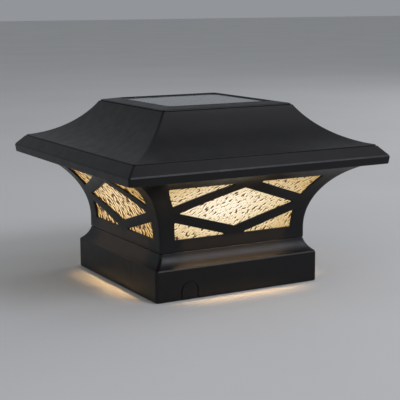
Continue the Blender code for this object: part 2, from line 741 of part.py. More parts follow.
def make_light_tray(roof):
    bm = bmesh.new()
    add_square_sweep(bm, [(TRAY_HALF, TRAY_BOTTOM), (TRAY_HALF, TRAY_TOP)], CROWN_CORNER)
    tray = add_object("light_tray", mesh_from(bm, "light_tray"), roof, "white_plastic")

    add_on = bmesh.new()
    wall = Vector((BAY_WALL, BAY_WALL, BAY_WALL))
    add_box(add_on, (*(BAY_LOW - wall).xy, TRAY_MIDDLE), BAY_HIGH + wall)
    for place in board_pegs():
        shoulder, tip = BOARD_BOTTOM - GAP, BOARD_BOTTOM + BOARD_THICKNESS + 2 * GAP
        add_turned(add_on, place, [(PILLAR, TRAY_MIDDLE), (PILLAR, shoulder), (PEG, shoulder), (PEG, tip)], 12)
    boolean(tray, "UNION", add_on, "tray_bay_and_pillars")
    lugs = bmesh.new()
    for x in (-1, 1):
        ends = (x * (BARREL_HALF + GAP), x * (BARREL_HALF + GAP + LUG_WIDTH))
        add_loft(lugs, [[Vector((end, y, z)) for y, z in lug_outline()] for end in ends])
    boolean(tray, "UNION", lugs, "tray_hinge_lugs")

    cuts = bmesh.new()
    below, above = TRAY_BOTTOM - PAST, TRAY_TOP + PAST
    add_box(cuts, (*BAY_LOW.xy, below), BAY_HIGH)
    for place in corner_places(TRAY_SCREW_OFFSET, 0.0):
        add_cylinder(cuts, place, SCREW_HOLE, below, above, 12)
    add_cylinder(cuts, DOOR_TAB, SCREW + 2 * GAP, below, above, 12)
    add_cylinder(cuts, LED_CENTRE + Vector((-8.5 * MM, 0)), PILLAR, below, above, 12)
    add_cylinder(cuts, (0, HINGE.y, HINGE.z), PIN_HOLE, -30.0 * MM, 30.0 * MM, 12, axis="X")
    reach = SLIDER_HALF + Vector((SWITCH_TRAVEL / 2 + 0.5 * MM, 0.4 * MM))
    add_box(cuts, (*(SWITCH - reach), below), (*(SWITCH + reach), above))
    boolean(tray, "DIFFERENCE", cuts, "tray_cuts")
    wire_holes = bmesh.new()
    for x in (-1, 1):
        place = (x * (BAY_HIGH.x + BAY_WALL / 2), 0, WIRE_HEIGHT)
        add_cylinder(wire_holes, place, WIRE_HOLE, 8.0 * MM, 18.0 * MM, 12, axis="Y")
    boolean(tray, "DIFFERENCE", wire_holes, "battery_wire_holes")


def lug_outline():
    """A hinge lug seen along the hinge: round under the pin, and upright above it."""
    steps = 8
    points = []
    for step in range(steps + 1):
        angle = math.pi * (1 + step / steps)
        points.append((HINGE.y + BARREL * math.cos(angle), HINGE.z + BARREL * math.sin(angle)))
    in_tray = TRAY_BOTTOM + 0.5 * MM
    return points + [(HINGE.y + BARREL, in_tray), (HINGE.y - BARREL, in_tray)]


def board_pegs():
    """The places of the four pegs that hold the control board."""
    return [BOARD_CENTRE + Vector((x * PEG_PLACE.x, y * PEG_PLACE.y)) for x in (-1, 1) for y in (-1, 1)]


def make_tray_screws(roof):
    mesh = screw_mesh("tray_screw", TRAY_SCREW_LENGTH)
    for place, name in zip(corner_places(TRAY_SCREW_OFFSET, TRAY_BOTTOM - GAP), CORNERS):
        add_object("tray_screw_" + name, mesh, roof, "steel", place)


def make_battery(roof):
    edge = 0.8 * MM
    profile = [
        (BATTERY_RADIUS - edge, BATTERY_START),
        (BATTERY_RADIUS, BATTERY_START + edge),
        (BATTERY_RADIUS, BATTERY_END - edge),
        (BATTERY_RADIUS - edge, BATTERY_END),
        (BATTERY_NOSE.x, BATTERY_END),
        (BATTERY_NOSE.x, BATTERY_END + BATTERY_NOSE.y),
    ]
    bm = bmesh.new()
    add_turned(bm, (0, 0), profile, 20)
    bm.transform(Matrix.Rotation(math.pi / 2, 4, "Y"))
    place = (0, BATTERY_Y, BATTERY_Z)
    add_object("battery", mesh_from(bm, "battery"), roof, "battery_wrap", place)

    thickness = 0.5 * MM
    contact = BATTERY_END + BATTERY_NOSE.y + GAP
    for name, low in (("battery_contact", contact), ("spring_plate", BAY_LOW.x + GAP)):
        bm = bmesh.new()
        half = CONTACT_HALF
        add_box(bm, (low, -half, -half), (low + thickness, half, half))
        add_object(name, mesh_from(bm, name), roof, "steel", place)
    make_battery_spring(roof, place)


def make_battery_spring(roof, place):
    wire = SPRING_WIRE
    start, end = BAY_LOW.x + 0.8 * MM + GAP + wire, BATTERY_START - GAP - wire
    wide, narrow = SPRING_RADII
    count = SPRING_TURNS * 12
    points = []
    for k in range(count + 1):
        share = k / count
        angle = 2 * math.pi * SPRING_TURNS * share
        radius = wide + (narrow - wide) * share
        along = start + (end - start) * share
        points.append(Vector((along, radius * math.cos(angle), radius * math.sin(angle))))
    add_tube("battery_spring", points, wire, roof, "steel", place)


def make_door_pin(roof):
    bm = bmesh.new()
    half = BARREL_HALF + GAP + LUG_WIDTH - 0.2 * MM
    add_cylinder(bm, (0, 0), PIN, -half, half, 12, axis="X")
    add_object("door_pin", mesh_from(bm, "door_pin"), roof, "steel", HINGE)


def make_battery_door(door):
    """The door closes the battery bay from below, and swings down on a barrel along its back edge."""
    bm = bmesh.new()
    back = -BARREL - GAP  # the plate stops short of the tray's hinge lugs
    front = DOOR_FRONT - HINGE.y
    corners = [(-DOOR_HALF, front), (DOOR_HALF, front), (DOOR_HALF, back), (-DOOR_HALF, back)]
    outline = rounded(corners, 2.0 * MM)
    top = TRAY_BOTTOM - GAP - HINGE.z
    bottom = top - DOOR_THICKNESS
    add_loft(bm, [[Vector((x, y, z)) for x, y in outline] for z in (bottom, top)])
    plate = add_object("battery_door", mesh_from(bm, "battery_door"), door, "white_plastic")

    tab = DOOR_TAB - HINGE.xy
    barrel, web, ear = bmesh.new(), bmesh.new(), bmesh.new()
    add_cylinder(barrel, (0, 0), BARREL, -BARREL_HALF, BARREL_HALF, 16, axis="X")
    step = 0.2 * MM  # the web and the ear are a little thinner than the plate
    add_box(web, (-BARREL_HALF, back - 1.0 * MM, bottom + step), (BARREL_HALF, 0, top - step))
    add_cylinder(ear, tab, 3.6 * MM, bottom + step, top - step, 16)
    for shape, name in ((web, "door_web"), (barrel, "door_barrel"), (ear, "door_ear")):
        boolean(plate, "UNION", shape, name)
    bores = bmesh.new()
    add_cylinder(bores, (0, 0), PIN_HOLE, -30.0 * MM, 30.0 * MM, 12, axis="X")
    add_cylinder(bores, tab, SCREW_HOLE, bottom - PAST, top + PAST, 12)
    boolean(plate, "DIFFERENCE", bores, "door_bores")
    add_object("door_screw", screw_mesh("door_screw", DOOR_SCREW_LENGTH), door, "steel", (*tab, bottom - GAP))


def make_led_unit(roof):
    top = TRAY_BOTTOM - GAP
    bottom = top - LED_BOARD_THICKNESS
    bm = bmesh.new()
    add_turned(bm, LED_CENTRE, [(LED_BOARD_RADIUS, bottom), (LED_BOARD_RADIUS, top)], 24)
    add_object("led_board", mesh_from(bm, "led_board"), roof, "white_board")

    bm = bmesh.new()
    profile = [(2.9 * MM, 0.0), (2.9 * MM, -1.0 * MM), (2.5 * MM, -1.0 * MM), (2.5 * MM, -3.0 * MM)]
    profile += [(2.5 * MM * math.cos(a), -3.0 * MM - 2.5 * MM * math.sin(a)) for a in (0.5, 1.0, 1.35)]
    add_turned(bm, (0, 0), profile, 12)
    led = mesh_from(bm, "led")
    for index in range(4):
        angle = math.pi / 4 + index * math.pi / 2
        place = LED_CENTRE + LED_SPREAD * Vector((math.cos(angle), math.sin(angle)))
        add_object("led_" + str(index + 1), led, roof, "led_yellow", (*place, bottom - GAP))

    bm = bmesh.new()
    rim, wall = LED_BOARD_RADIUS + 1.0 * MM, 1.2 * MM
    profile = [(7.0 * MM, 67.6 * MM), (11.5 * MM, 68.6 * MM), (rim, 71.4 * MM), (rim, top)]
    profile += [(rim + wall, top), (rim + wall, 70.9 * MM), (12.3 * MM, 67.6 * MM), (7.3 * MM, 66.4 * MM)]
    add_turned(bm, LED_CENTRE, profile, 24)
    add_object("led_lens", mesh_from(bm, "led_lens"), roof, "frosted_plastic")


def make_switch(roof, slider_body):
    bm = bmesh.new()
    size = Vector((6.0, 3.2, 5.5)) * MM
    bottom = TRAY_TOP + GAP
    add_box(bm, (*(SWITCH - size.xy), bottom), (*(SWITCH + size.xy), bottom + size.z))
    add_object("switch_body", mesh_from(bm, "switch_body"), roof, "grey_plastic")

    bm = bmesh.new()
    top, low, notch = TRAY_TOP - SLIDER_REST.z, -2.4 * MM, 0.6 * MM
    section = [(-SLIDER_HALF.x, top), (-SLIDER_HALF.x, low), (-notch, low), (-notch / 2, low + notch)]
    section += [(-x, z) for x, z in reversed(section)]
    add_prism(bm, section, -SLIDER_HALF.y, SLIDER_HALF.y)
    add_object("switch_slider", mesh_from(bm, "switch_slider"), slider_body, "grey_plastic")


def make_control_board(roof):
    top = BOARD_BOTTOM + BOARD_THICKNESS
    bm = bmesh.new()
    add_box(bm, (*(BOARD_CENTRE - BOARD_HALF), BOARD_BOTTOM), (*(BOARD_CENTRE + BOARD_HALF), top))
    board = add_object("control_board", mesh_from(bm, "control_board"), roof, "green_board")
    holes = bmesh.new()
    for place in board_pegs():
        add_cylinder(holes, place, PEG + GAP, BOARD_BOTTOM - PAST, top + PAST, 12)
    boolean(board, "DIFFERENCE", holes, "board_holes")

    bm = bmesh.new()
    chip = BOARD_CENTRE + Vector((-3.0, 1.0)) * MM
    reach = Vector((3.2, 2.6)) * MM
    add_box(bm, (*(chip - reach), top + GAP), (*(chip + reach), top + 1.8 * MM))
    add_object("controller_chip", mesh_from(bm, "controller_chip"), roof, "black_wire")


# ---------------------------------------------------------------- leads


def add_tube(name, points, radius, parent, finish, location=(0, 0, 0)):
    curve = bpy.data.curves.new(name, "CURVE")
    curve.dimensions = "3D"
    curve.bevel_depth = radius
    curve.bevel_resolution = 1
    curve.use_fill_caps = True
    spline = curve.splines.new("POLY")
    spline.points.add(len(points) - 1)
    for target, point in zip(spline.points, points):
        target.co = (*point, 1)
    return add_object(name, curve, parent, finish, location)


def smooth_route(places, samples=6):
    """A smooth curve through places that are given in millimetres."""
    knots = [Vector(place) * MM for place in places]
    knots = [2 * knots[0] - knots[1]] + knots + [2 * knots[-1] - knots[-2]]
    points = []
    for a, b, c, d in zip(knots, knots[1:], knots[2:], knots[3:]):
        for step in range(samples):
            t = step / samples
            bend = (2 * a - 5 * b + 4 * c - d) * t**2 + (3 * b - a - 3 * c + d) * t**3
            points.append((2 * b + (c - a) * t + bend) / 2)
    points.append(knots[-2])
    return points


LEADS = {
    # name: (finish, places in millimetres that the lead passes through)
    "panel_lead_red": (
        "red_wire",
        [(-0.9, 0, 105.6), (-0.9, 0, 102), (-0.9, 0, 99), (-8, -10, 97), (-17, -24, 93), (-21, -28, 84.4)],
    ),
    "panel_lead_black": (
        "black_wire",
        [(0.9, 0, 105.6), (0.9, 0, 102), (0.9, 0, 99), (-4, -12, 95), (-13, -24, 92), (-17, -28, 84.4)],
    ),
    "led_lead_red": (
        "red_wire",
        [(-7.7, -4, 77.2), (-7.7, -4, 80), (-7.7, -12, 84), (-8.5, -26, 88), (-9.5, -40, 84.4)],
    ),
    "led_lead_black": (
        "black_wire",
        [(-9.4, -4, 77.2), (-9.4, -4, 80), (-9.6, -12, 86), (-12, -28, 90), (-13, -40, 84.4)],
    ),
    "battery_lead_red": (
        "red_wire",
        [(31.75, 16, 89), (31.75, 12, 89), (31.5, 8, 89), (26, -2, 88)]
        + [(8, -20, 91), (-7, -38, 91), (-14.5, -44.5, 84.4)],
    ),
    "battery_lead_black": (
        "black_wire",
        [(-31.75, 16, 89), (-31.75, 12, 89), (-32, 8, 89), (-36, -4, 87)]
        + [(-38, -14, 87), (-36, -25, 88), (-35, -29, 84.4)],
    ),
}


def make_leads(roof):
    for name, (finish, places) in LEADS.items():
        add_tube(name, smooth_route(places), WIRE, roof, finish)


# ---------------------------------------------------------------- assembly


def build():
    clear_scene()
    root = add_empty("post_cap_light")
    make_base_collar(root)
    make_seat_plate(root)
    make_downlight_lenses(root)
    make_post_spacers(root)
    make_base_screws(root)
    make_lantern_frame(root)
    make_frame_screws(root)
    make_panes(root)
    make_pane_retainer(root)
    make_roof_gasket(root)

    roof = add_empty("roof", parent=root)  # lifts along Z
    make_roof_shell(roof)
    make_set_screws(roof)
    make_solar_panel(roof)
    make_lead_grommet(roof)
    make_light_tray(roof)
    make_tray_screws(roof)
    make_battery(roof)
    make_door_pin(roof)
    make_led_unit(roof)
    make_control_board(roof)
    make_leads(roof)

    door = add_empty("door", HINGE, roof)  # turns about X
    make_battery_door(door)
    slider = add_empty("slider", SLIDER_REST, roof)  # moves along X
    make_switch(roof, slider)


build()
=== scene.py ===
"""The looks of a solar post cap light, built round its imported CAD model.

The castings, the hammered panes, the solar panel and the small hardware are modelled here at
full detail, each at the size and place of the CAD node that it stands for. Lengths are in metres
in the CAD's own frame: +Z up, the lantern's front towards -Y.
"""

import math

import bmesh
import bpy
from mathutils import Matrix, Vector, geometry, noise


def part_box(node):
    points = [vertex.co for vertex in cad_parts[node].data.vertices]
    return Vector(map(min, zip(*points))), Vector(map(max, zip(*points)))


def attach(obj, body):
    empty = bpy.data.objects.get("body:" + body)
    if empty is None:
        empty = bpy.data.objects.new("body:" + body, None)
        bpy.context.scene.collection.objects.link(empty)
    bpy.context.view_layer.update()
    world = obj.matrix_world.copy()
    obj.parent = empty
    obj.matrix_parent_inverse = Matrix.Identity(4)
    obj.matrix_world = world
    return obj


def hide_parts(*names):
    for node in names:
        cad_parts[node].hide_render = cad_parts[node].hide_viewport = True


MM = 0.001
SMOOTH_TURN = math.radians(12)  # an outline that turns less than this at a point is an arc there
SIDES = ("front", "right", "back", "left")
CORNERS = ("front_right", "back_right", "back_left", "front_left")
SET_SCREWS = ("roof_set_screw_left", "roof_set_screw_right")

# Sizes that the CAD's boxes don't give. A half is half a square's width, and a pair is (half, z).
WALL = 3.0 * MM

# The collar, and the cove on top of it.
COLLAR_CORNER = 1.8 * MM
COLLAR_INNER = 52.5 * MM
COLLAR_FACE_TOP = 17.9 * MM
COVE_BOTTOM = Vector((54.6, 18.7)) * MM
COVE_TOP = Vector((49.2, 26.9)) * MM
COVE_RADIUS = 14.0 * MM
LEDGE_HALF = 40.5 * MM
LEDGE_BOTTOM = 24.4 * MM

# The lantern: upright to the height where its flare starts, and a flange from the soffit up.
LANTERN_CORNER = 0.9 * MM
LANTERN_HALF = 49.2 * MM
LATTICE_WALL = 1.4 * MM
RIB_TOP = 31.7 * MM
FLARE_START = 33.0 * MM
FLARE_RADIUS = 42.7 * MM
SOFFIT = 73.9 * MM
LEVEL_SPACING = 1.5 * MM
NET_SPACING = 2.2 * MM
NET_CLEARANCE = 0.8 * MM  # between a point of the net and an outline

# The roof.
CROWN_CORNER = 3.5 * MM
HIP_CORNER = 1.3 * MM
POCKET_HALF = 34.7 * MM
POCKET_FLOOR = 105.7 * MM
SLOPE_HEAD = Vector((44.0, 107.9)) * MM
SLOPE_FOOT = Vector((79.8, 84.9)) * MM
SLOPE_RADIUS = 53.8 * MM
BEVEL_FOOT = 79.05 * MM
FASCIA_TOP = 78.1 * MM
BRIM_INNER = 82.1 * MM
ROOF_LEDGE = 78.6 * MM
ROOF_LEDGE_INNER = 75.0 * MM
ROOF_CEILING = 102.7 * MM
HOLE_RADIUS = 1.55 * MM  # of the holes for the set screws
HOLE_REACH = 4.0 * MM  # either way from the screw's middle

# The lattice of one side, seen square on.
WINDOW_BOTTOM = 34.2 * MM
WINDOW_TOP = 66.8 * MM
STILE_WIDTH = 9.7 * MM
STILE_WIDENING = 0.0042 / MM  # with the square of the height
DIAMOND_MIDDLE = 50.2 * MM  # the height of its side corners
DIAMOND_HALF_WIDTH = 38.8 * MM
DIAMOND_RISE = 13.1 * MM
DIAMOND_DROP = 11.3 * MM
BAR_WIDTH = 5.8 * MM
WINDOW_CORNER = 0.35 * MM
WINDOW_SPACING = 1.2 * MM  # of the points along its straight edges
WINDOW_EDGE = 0.3 * MM  # the round along a window's outer edge

# The wire knock-out in the collar's front face.
KNOCKOUT_X = -33.3 * MM
KNOCKOUT_HALF = 5.35 * MM
KNOCKOUT_HEIGHT = 10.3 * MM
GROOVE = 0.8 * MM

# The panes.
PANE_DEPTH = 1.7 * MM  # from the lattice's outer face to the pane's
PANE_THICKNESS = 2.0 * MM
PANE_RELIEF = 0.16 * MM
PANE_CELL = 0.8 * MM
PANE_MARGIN = 0.5 * MM
PANE_UV_SCALE = 10  # of the "pane" layer; the "grain" layer is in metres

# The solar panel.
CELL_STRIPS = 5
CELL_GAP = 0.7 * MM
CELL_MARGIN = 1.6 * MM
CELL_SINK = 0.05 * MM
CELL_RISE = 0.12 * MM
SEAL_GAP = 0.3 * MM

# The small hardware.
HEAD_HEIGHT = 1.8 * MM  # of the button heads
SCREW_SHANK = 1.2 * MM  # its radius
SCREW_PITCH = 0.5 * MM
SCREW_SEGMENTS = 24
LENS_WALL = 1.2 * MM
LENS_FLUTES = 24
LENS_FLUTE_DEPTH = 0.2 * MM
BATTERY_CAP = 2.6 * MM  # its radius
BATTERY_CAP_HEIGHT = 1.5 * MM
DOOR_THICKNESS = 1.7 * MM
RIB_ROWS = 5
RIB_SPACING = 1.6 * MM
RIB_WIDTH = 0.8 * MM
RIB_HEIGHT = 0.3 * MM
RIB_HALF_LENGTH = 6.0 * MM
RIB_MIDDLE = 20.0 * MM  # either way from the door's middle
RIB_START = 9.0 * MM  # from the hinge side

# The warm light inside, and what the panes spill on the cove below them.
LAMP_PLACE = (0, -0.004, 0.060)
LAMP_RADIUS = 0.012
LAMP_POWER = 0.25
LAMP_COLOUR = (1.0, 0.72, 0.40)
SPILL_HEIGHT = 36.0 * MM
SPILL_CLEARANCE = 2.0 * MM
SPILL_SIZE = (0.070, 0.002)
SPILL_SPREAD = math.radians(75)
SPILL_POWER = 0.008
SPILL_COLOUR = (1.0, 0.62, 0.28)
SPILL_AIM = (0, 0.03, -1)

LIGHT_TARGET = (0, 0, 0.06)
CAMERA_PLACE = (-0.3296, -0.5980, 0.1691)
CAMERA_AIM = (0.4798, 0.8594, -0.1767)
CAMERA_ROLL = math.radians(-0.30)
CAMERA_LENS = 99.77


# ---- shapes


def quarter_turn(index):
    """The turn from the front to the side with that index."""
    return Matrix.Rotation(index * math.pi / 2, 4, "Z")


def laid_along_y(place):
    """Lays a shape on the Z axis along Y, round that place."""
    return Matrix.Translation(place) @ Matrix.Rotation(math.pi / 2, 4, "X")


def round_ring(radius, z, segments):
    """Points round a circle. radius is its own, or its function of the angle."""
    points = []
    for k in range(segments):
        angle = 2 * math.pi * k / segments
        reach = radius(angle) if callable(radius) else radius
        points.append(Vector((reach * math.cos(angle), reach * math.sin(angle), z)))
    return points


def square_ring(half, z, radius, steps):
    """Points round a square of that half width, with round corners."""
    points = []
    for corner in range(4):
        centre = Vector((half - radius, radius - half, z))
        for step in range(steps + 1):
            angle = (step / steps - 1) * math.pi / 2
            arm = Vector((radius * math.cos(angle), radius * math.sin(angle), 0))
            points.append(quarter_turn(corner) @ (centre + arm))
    return points


def add_loft(bm, rings, closed=False, capped=True):
    """Joins rings of points, each to the next, and caps the ends of an open loft."""
    loops = [[bm.verts.new(point) for point in ring] for ring in rings]
    pairs = list(zip(loops, loops[1:]))
    if closed:
        pairs.append((loops[-1], loops[0]))
    for lower, upper in pairs:
        for i in range(len(lower)):
            j = (i + 1) % len(lower)
            bm.faces.new((lower[i], lower[j], upper[j], upper[i]))
    if capped and not closed:
        bm.faces.new(loops[0])
        bm.faces.new(loops[-1])


def add_sweep(bm, profile, radius, steps=8, **ends):
    """Sweeps a profile of (half, z) points round a square.

    radius is that of its corners, or its function of the half width.
    """
    rings = []
    for half, z in profile:
        rings.append(square_ring(half, z, radius(half) if callable(radius) else radius, steps))
    add_loft(bm, rings, **ends)
    return bm


def turned(profile, segments):
    """A profile of (radius, z) points, turned about the Z axis."""
    bm = bmesh.new()
    add_loft(bm, [round_ring(radius, z, segments) for radius, z in profile])
    return bm


def add_slab(bm, outline, levels):
    """A flat slab: an outline of (x, y) points between two heights."""
    add_loft(bm, [[Vector((x, y, z)) for x, y in outline] for z in levels])


def soften(profile, radius, closed=False, steps=4):
    """Rounds the corners of a profile, and leaves its smooth arcs as they are."""
    points = [Vector(point) for point in profile]
    softened = []
    for i, corner in enumerate(points):
        if not closed and i in (0, len(points) - 1):
            softened.append(corner)
            continue
        before, after = points[i - 1] - corner, points[(i + 1) % len(points)] - corner
        turn = math.pi - before.angle(after)
        if turn < SMOOTH_TURN:
            softened.append(corner)
            continue
        room = min(radius * math.tan(turn / 2), 0.45 * before.length, 0.45 * after.length)
        first, last = corner + before.normalized() * room, corner + after.normalized() * room
        for step in range(steps + 1):
            share = step / steps
            softened.append(first.lerp(corner, share).lerp(corner.lerp(last, share), share))
    return softened


def arc_through(low, high, radius):
    """The centre of a hollow moulding's arc through two (half, z) points."""
    chord = high - low
    outward = Vector((chord.y, -chord.x)).normalized()
    return (low + high) / 2 + outward * math.sqrt(radius**2 - chord.length_squared / 4)


def arc_points(centre, radius, bottom, top, steps):
    """Points up the hollow side of an arc."""
    first = math.asin((bottom - centre.y) / radius)
    last = math.asin((top - centre.y) / radius)
    points = []
    for step in range(steps + 1):
        angle = first + (last - first) * step / steps
        reach, rise = radius * math.cos(angle), radius * math.sin(angle)
        points.append(Vector((centre.x - reach, centre.y + rise)))
    return points


COVE = arc_through(COVE_BOTTOM, COVE_TOP, COVE_RADIUS)
SLOPE = arc_through(SLOPE_FOOT, SLOPE_HEAD, SLOPE_RADIUS)
FLARE = Vector((LANTERN_HALF + FLARE_RADIUS, FLARE_START))


def flare_half(z, depth=0.0):
    """The lantern's half width at height z, on the surface that lies depth inside its face."""
    rise = max(z, FLARE_START) - FLARE_START
    return FLARE.x - math.sqrt((FLARE_RADIUS + depth) ** 2 - rise**2)


def flare_levels(bottom, top, spacing):
    """Heights from bottom to top, with one at the foot of the flare."""
    levels = []
    for low, high in ((bottom, FLARE_START), (FLARE_START, top)):
        steps = max(1, math.ceil((high - low) / spacing))
        levels += [low + (high - low) * step / steps for step in range(steps)]
    return levels + [top]


# ---- pieces


def mesh_from(bm, name, angle=35):
    """The bmesh as a mesh, smooth apart from edges sharper than the angle in degrees."""
    bmesh.ops.recalc_face_normals(bm, faces=bm.faces)
    mesh = bpy.data.meshes.new(name)
    bm.to_mesh(mesh)
    bm.free()
    mesh.shade_smooth()
    mesh.set_sharp_from_angle(angle=math.radians(angle))
    return mesh


def add_object(name, data):
    holder = bpy.data.objects.new(name, data)
    bpy.context.scene.collection.objects.link(holder)
    return holder


def paint(mesh, finish):
    mesh.materials.clear()
    mesh.materials.append(finish)


def add_piece(name, mesh, body, finish, slot, *nodes):
    """A piece that rides on a body, and stands for those CAD nodes."""
    piece = add_object(name, mesh)
    paint(mesh, finish)
    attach(piece, body)
    if nodes:
        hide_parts(*nodes)


def add_shape(name, bm, *made_as, angle=35):
    """A piece made from a bmesh. The rest is as for add_piece."""
    add_piece(name, mesh_from(bm, name, angle), *made_as)


def carved(mesh, cutters=()):
    """The mesh without what the cutters fill. Its big faces then shade flat."""
    target = add_object("carving", mesh)
    helpers = [target]
    for cutter in cutters:
        helper = add_object("cutter", cutter)
        modifier = target.modifiers.new("cut", "BOOLEAN")
        modifier.object = helper
        helpers.append(helper)
    weighted = target.modifiers.new("weighted", "WEIGHTED_NORMAL")
    weighted.keep_sharp = True
    graph = bpy.context.evaluated_depsgraph_get()
    result = bpy.data.meshes.new_from_object(target.evaluated_get(graph))
    for helper in helpers:
        bpy.data.objects.remove(helper)
    return result


def add_soft_copy(node, width, body, finish, slot):
    """A copy of a CAD node with rounded edges, as moulded and pressed parts have."""
    flat, sharp = math.radians(0.5), math.radians(40)
    bm = bmesh.new()
    bm.from_mesh(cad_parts[node].data)
    bmesh.ops.remove_doubles(bm, verts=bm.verts, dist=0.001 * MM)
    bmesh.ops.dissolve_limit(bm, angle_limit=flat, verts=bm.verts, edges=bm.edges)
    edges = [e for e in bm.edges if len(e.link_faces) == 2 and e.calc_face_angle(0.0) > sharp]
    bmesh.ops.bevel(
        bm, geom=edges, offset=width, segments=2, profile=0.5, affect="EDGES", clamp_overlap=True
    )
    name = node + "_part"
    add_piece(name, carved(mesh_from(bm, name)), body, finish, slot, node)


# ---- materials


class Finish:
    """A Principled material and the nodes that feed it, in object or in UV coordinates."""

    def __init__(self, name, coordinates="Object", **settings):
        self.material = bpy.data.materials.new(name)
        self.material.use_nodes = True
        self.tree = self.material.node_tree
        self.shader = self.tree.nodes["Principled BSDF"]
        self.place = self.node("TexCoord").outputs[coordinates]
        for socket, value in settings.items():
            self.shader.inputs[socket.replace("_", " ")].default_value = value

    def node(self, kind, **settings):
        made = self.tree.nodes.new("ShaderNode" + kind)
        for key, value in settings.items():
            setattr(made, key, value)
        return made

    def link(self, source, target):
        self.tree.links.new(source, target)

    def feed(self, source, socket):
        self.link(source, self.shader.inputs[socket])

    def mapped(self, place, **settings):
        """A place after a Mapping node with that Location, Rotation or Scale."""
        mapping = self.node("Mapping")
        for socket, value in settings.items():
            mapping.inputs[socket].default_value = value
        self.link(place, mapping.inputs["Vector"])
        return mapping.outputs["Vector"]

    def noise(self, size, detail=3.0, roughness=0.5, place=None, distortion=0.0):
        """Noise whose lumps are about size metres across."""
        made = self.node("TexNoise")
        made.inputs["Scale"].default_value = 1 / size
        made.inputs["Detail"].default_value = detail
        made.inputs["Roughness"].default_value = roughness
        made.inputs["Distortion"].default_value = distortion
        self.link(place or self.place, made.inputs["Vector"])
        return made.outputs["Fac"]

    def ramp(self, factor, *stops):
        """Colours along a factor. A stop is (position, colour), and a number makes a grey."""
        made = self.node("ValToRGB")
        elements = made.color_ramp.elements
        while len(elements) < len(stops):
            elements.new(0.5)
        for element, (position, colour) in zip(elements, stops):
            element.position = position
            rgb = colour if isinstance(colour, tuple) else (colour,) * 3
            element.color = (*rgb, 1)
        self.link(factor, made.inputs["Fac"])
        return made.outputs["Color"]

    def shade(self, socket, factor, *stops):
        self.feed(self.ramp(factor, *stops), socket)

    def mix(self, factor, first, second, blend="MIX"):
        """Blends two colours. Each of the three is an output or a plain value."""
        made = self.node("Mix", data_type="RGBA", blend_type=blend)
        for socket, value in ((0, factor), (6, first), (7, second)):
            if isinstance(value, (int, float)):
                made.inputs[socket].default_value = value
            elif isinstance(value, tuple):
                made.inputs[socket].default_value = (*value, 1)
            else:
                self.link(value, made.inputs[socket])
        return made.outputs[2]

    def product(self, first, second):
        made = self.node("Math", operation="MULTIPLY")
        self.link(first, made.inputs[0])
        self.link(second, made.inputs[1])
        return made.outputs[0]

    def bump(self, *layers):
        """Stacks bumps. A layer is (height, depth in metres, strength)."""
        normal = None
        for height, depth, strength in layers:
            made = self.node("Bump")
            made.inputs["Strength"].default_value = strength
            made.inputs["Distance"].default_value = depth
            self.link(height, made.inputs["Height"])
            if normal:
                self.link(normal, made.inputs["Normal"])
            normal = made.outputs["Normal"]
        self.feed(normal, "Normal")


def powder_coat():
    """Satin black powder coat: fine orange peel, with a breath of dust on what faces up."""
    coat = Finish("powder_coat", Specular_IOR_Level=0.27)
    peel = coat.noise(1.3 * MM, 2.0)
    grain = coat.noise(0.28 * MM, 2.0)
    cloud = coat.noise(22 * MM, 4.0, 0.6)
    tone = coat.ramp(cloud, (0.30, (0.0042, 0.0041, 0.0046)), (0.72, (0.0066, 0.0065, 0.0072)))
    speckle = coat.ramp(grain, (0.35, 0.82), (0.65, 1.12))
    tone = coat.mix(1.0, tone, speckle, "MULTIPLY")
    upward = coat.node("SeparateXYZ")
    coat.link(coat.node("NewGeometry").outputs["Normal"], upward.inputs[0])
    flat = coat.ramp(upward.outputs["Z"], (0.55, 0.0), (1.0, 1.0))
    patches = coat.ramp(coat.noise(9 * MM, 5.0, 0.65), (0.42, 0.0), (0.75, 0.06))
    dust = coat.product(flat, patches)
    coat.feed(coat.mix(dust, tone, (0.095, 0.092, 0.086)), "Base Color")
    sheen = coat.ramp(coat.noise(6 * MM, 4.0, 0.6), (0.30, 0.33), (0.75, 0.43))
    coat.feed(coat.mix(dust, sheen, (0.85, 0.85, 0.85)), "Roughness")
    coat.bump((peel, 0.04 * MM, 0.25), (grain, 0.01 * MM, 0.15))
    return coat.material


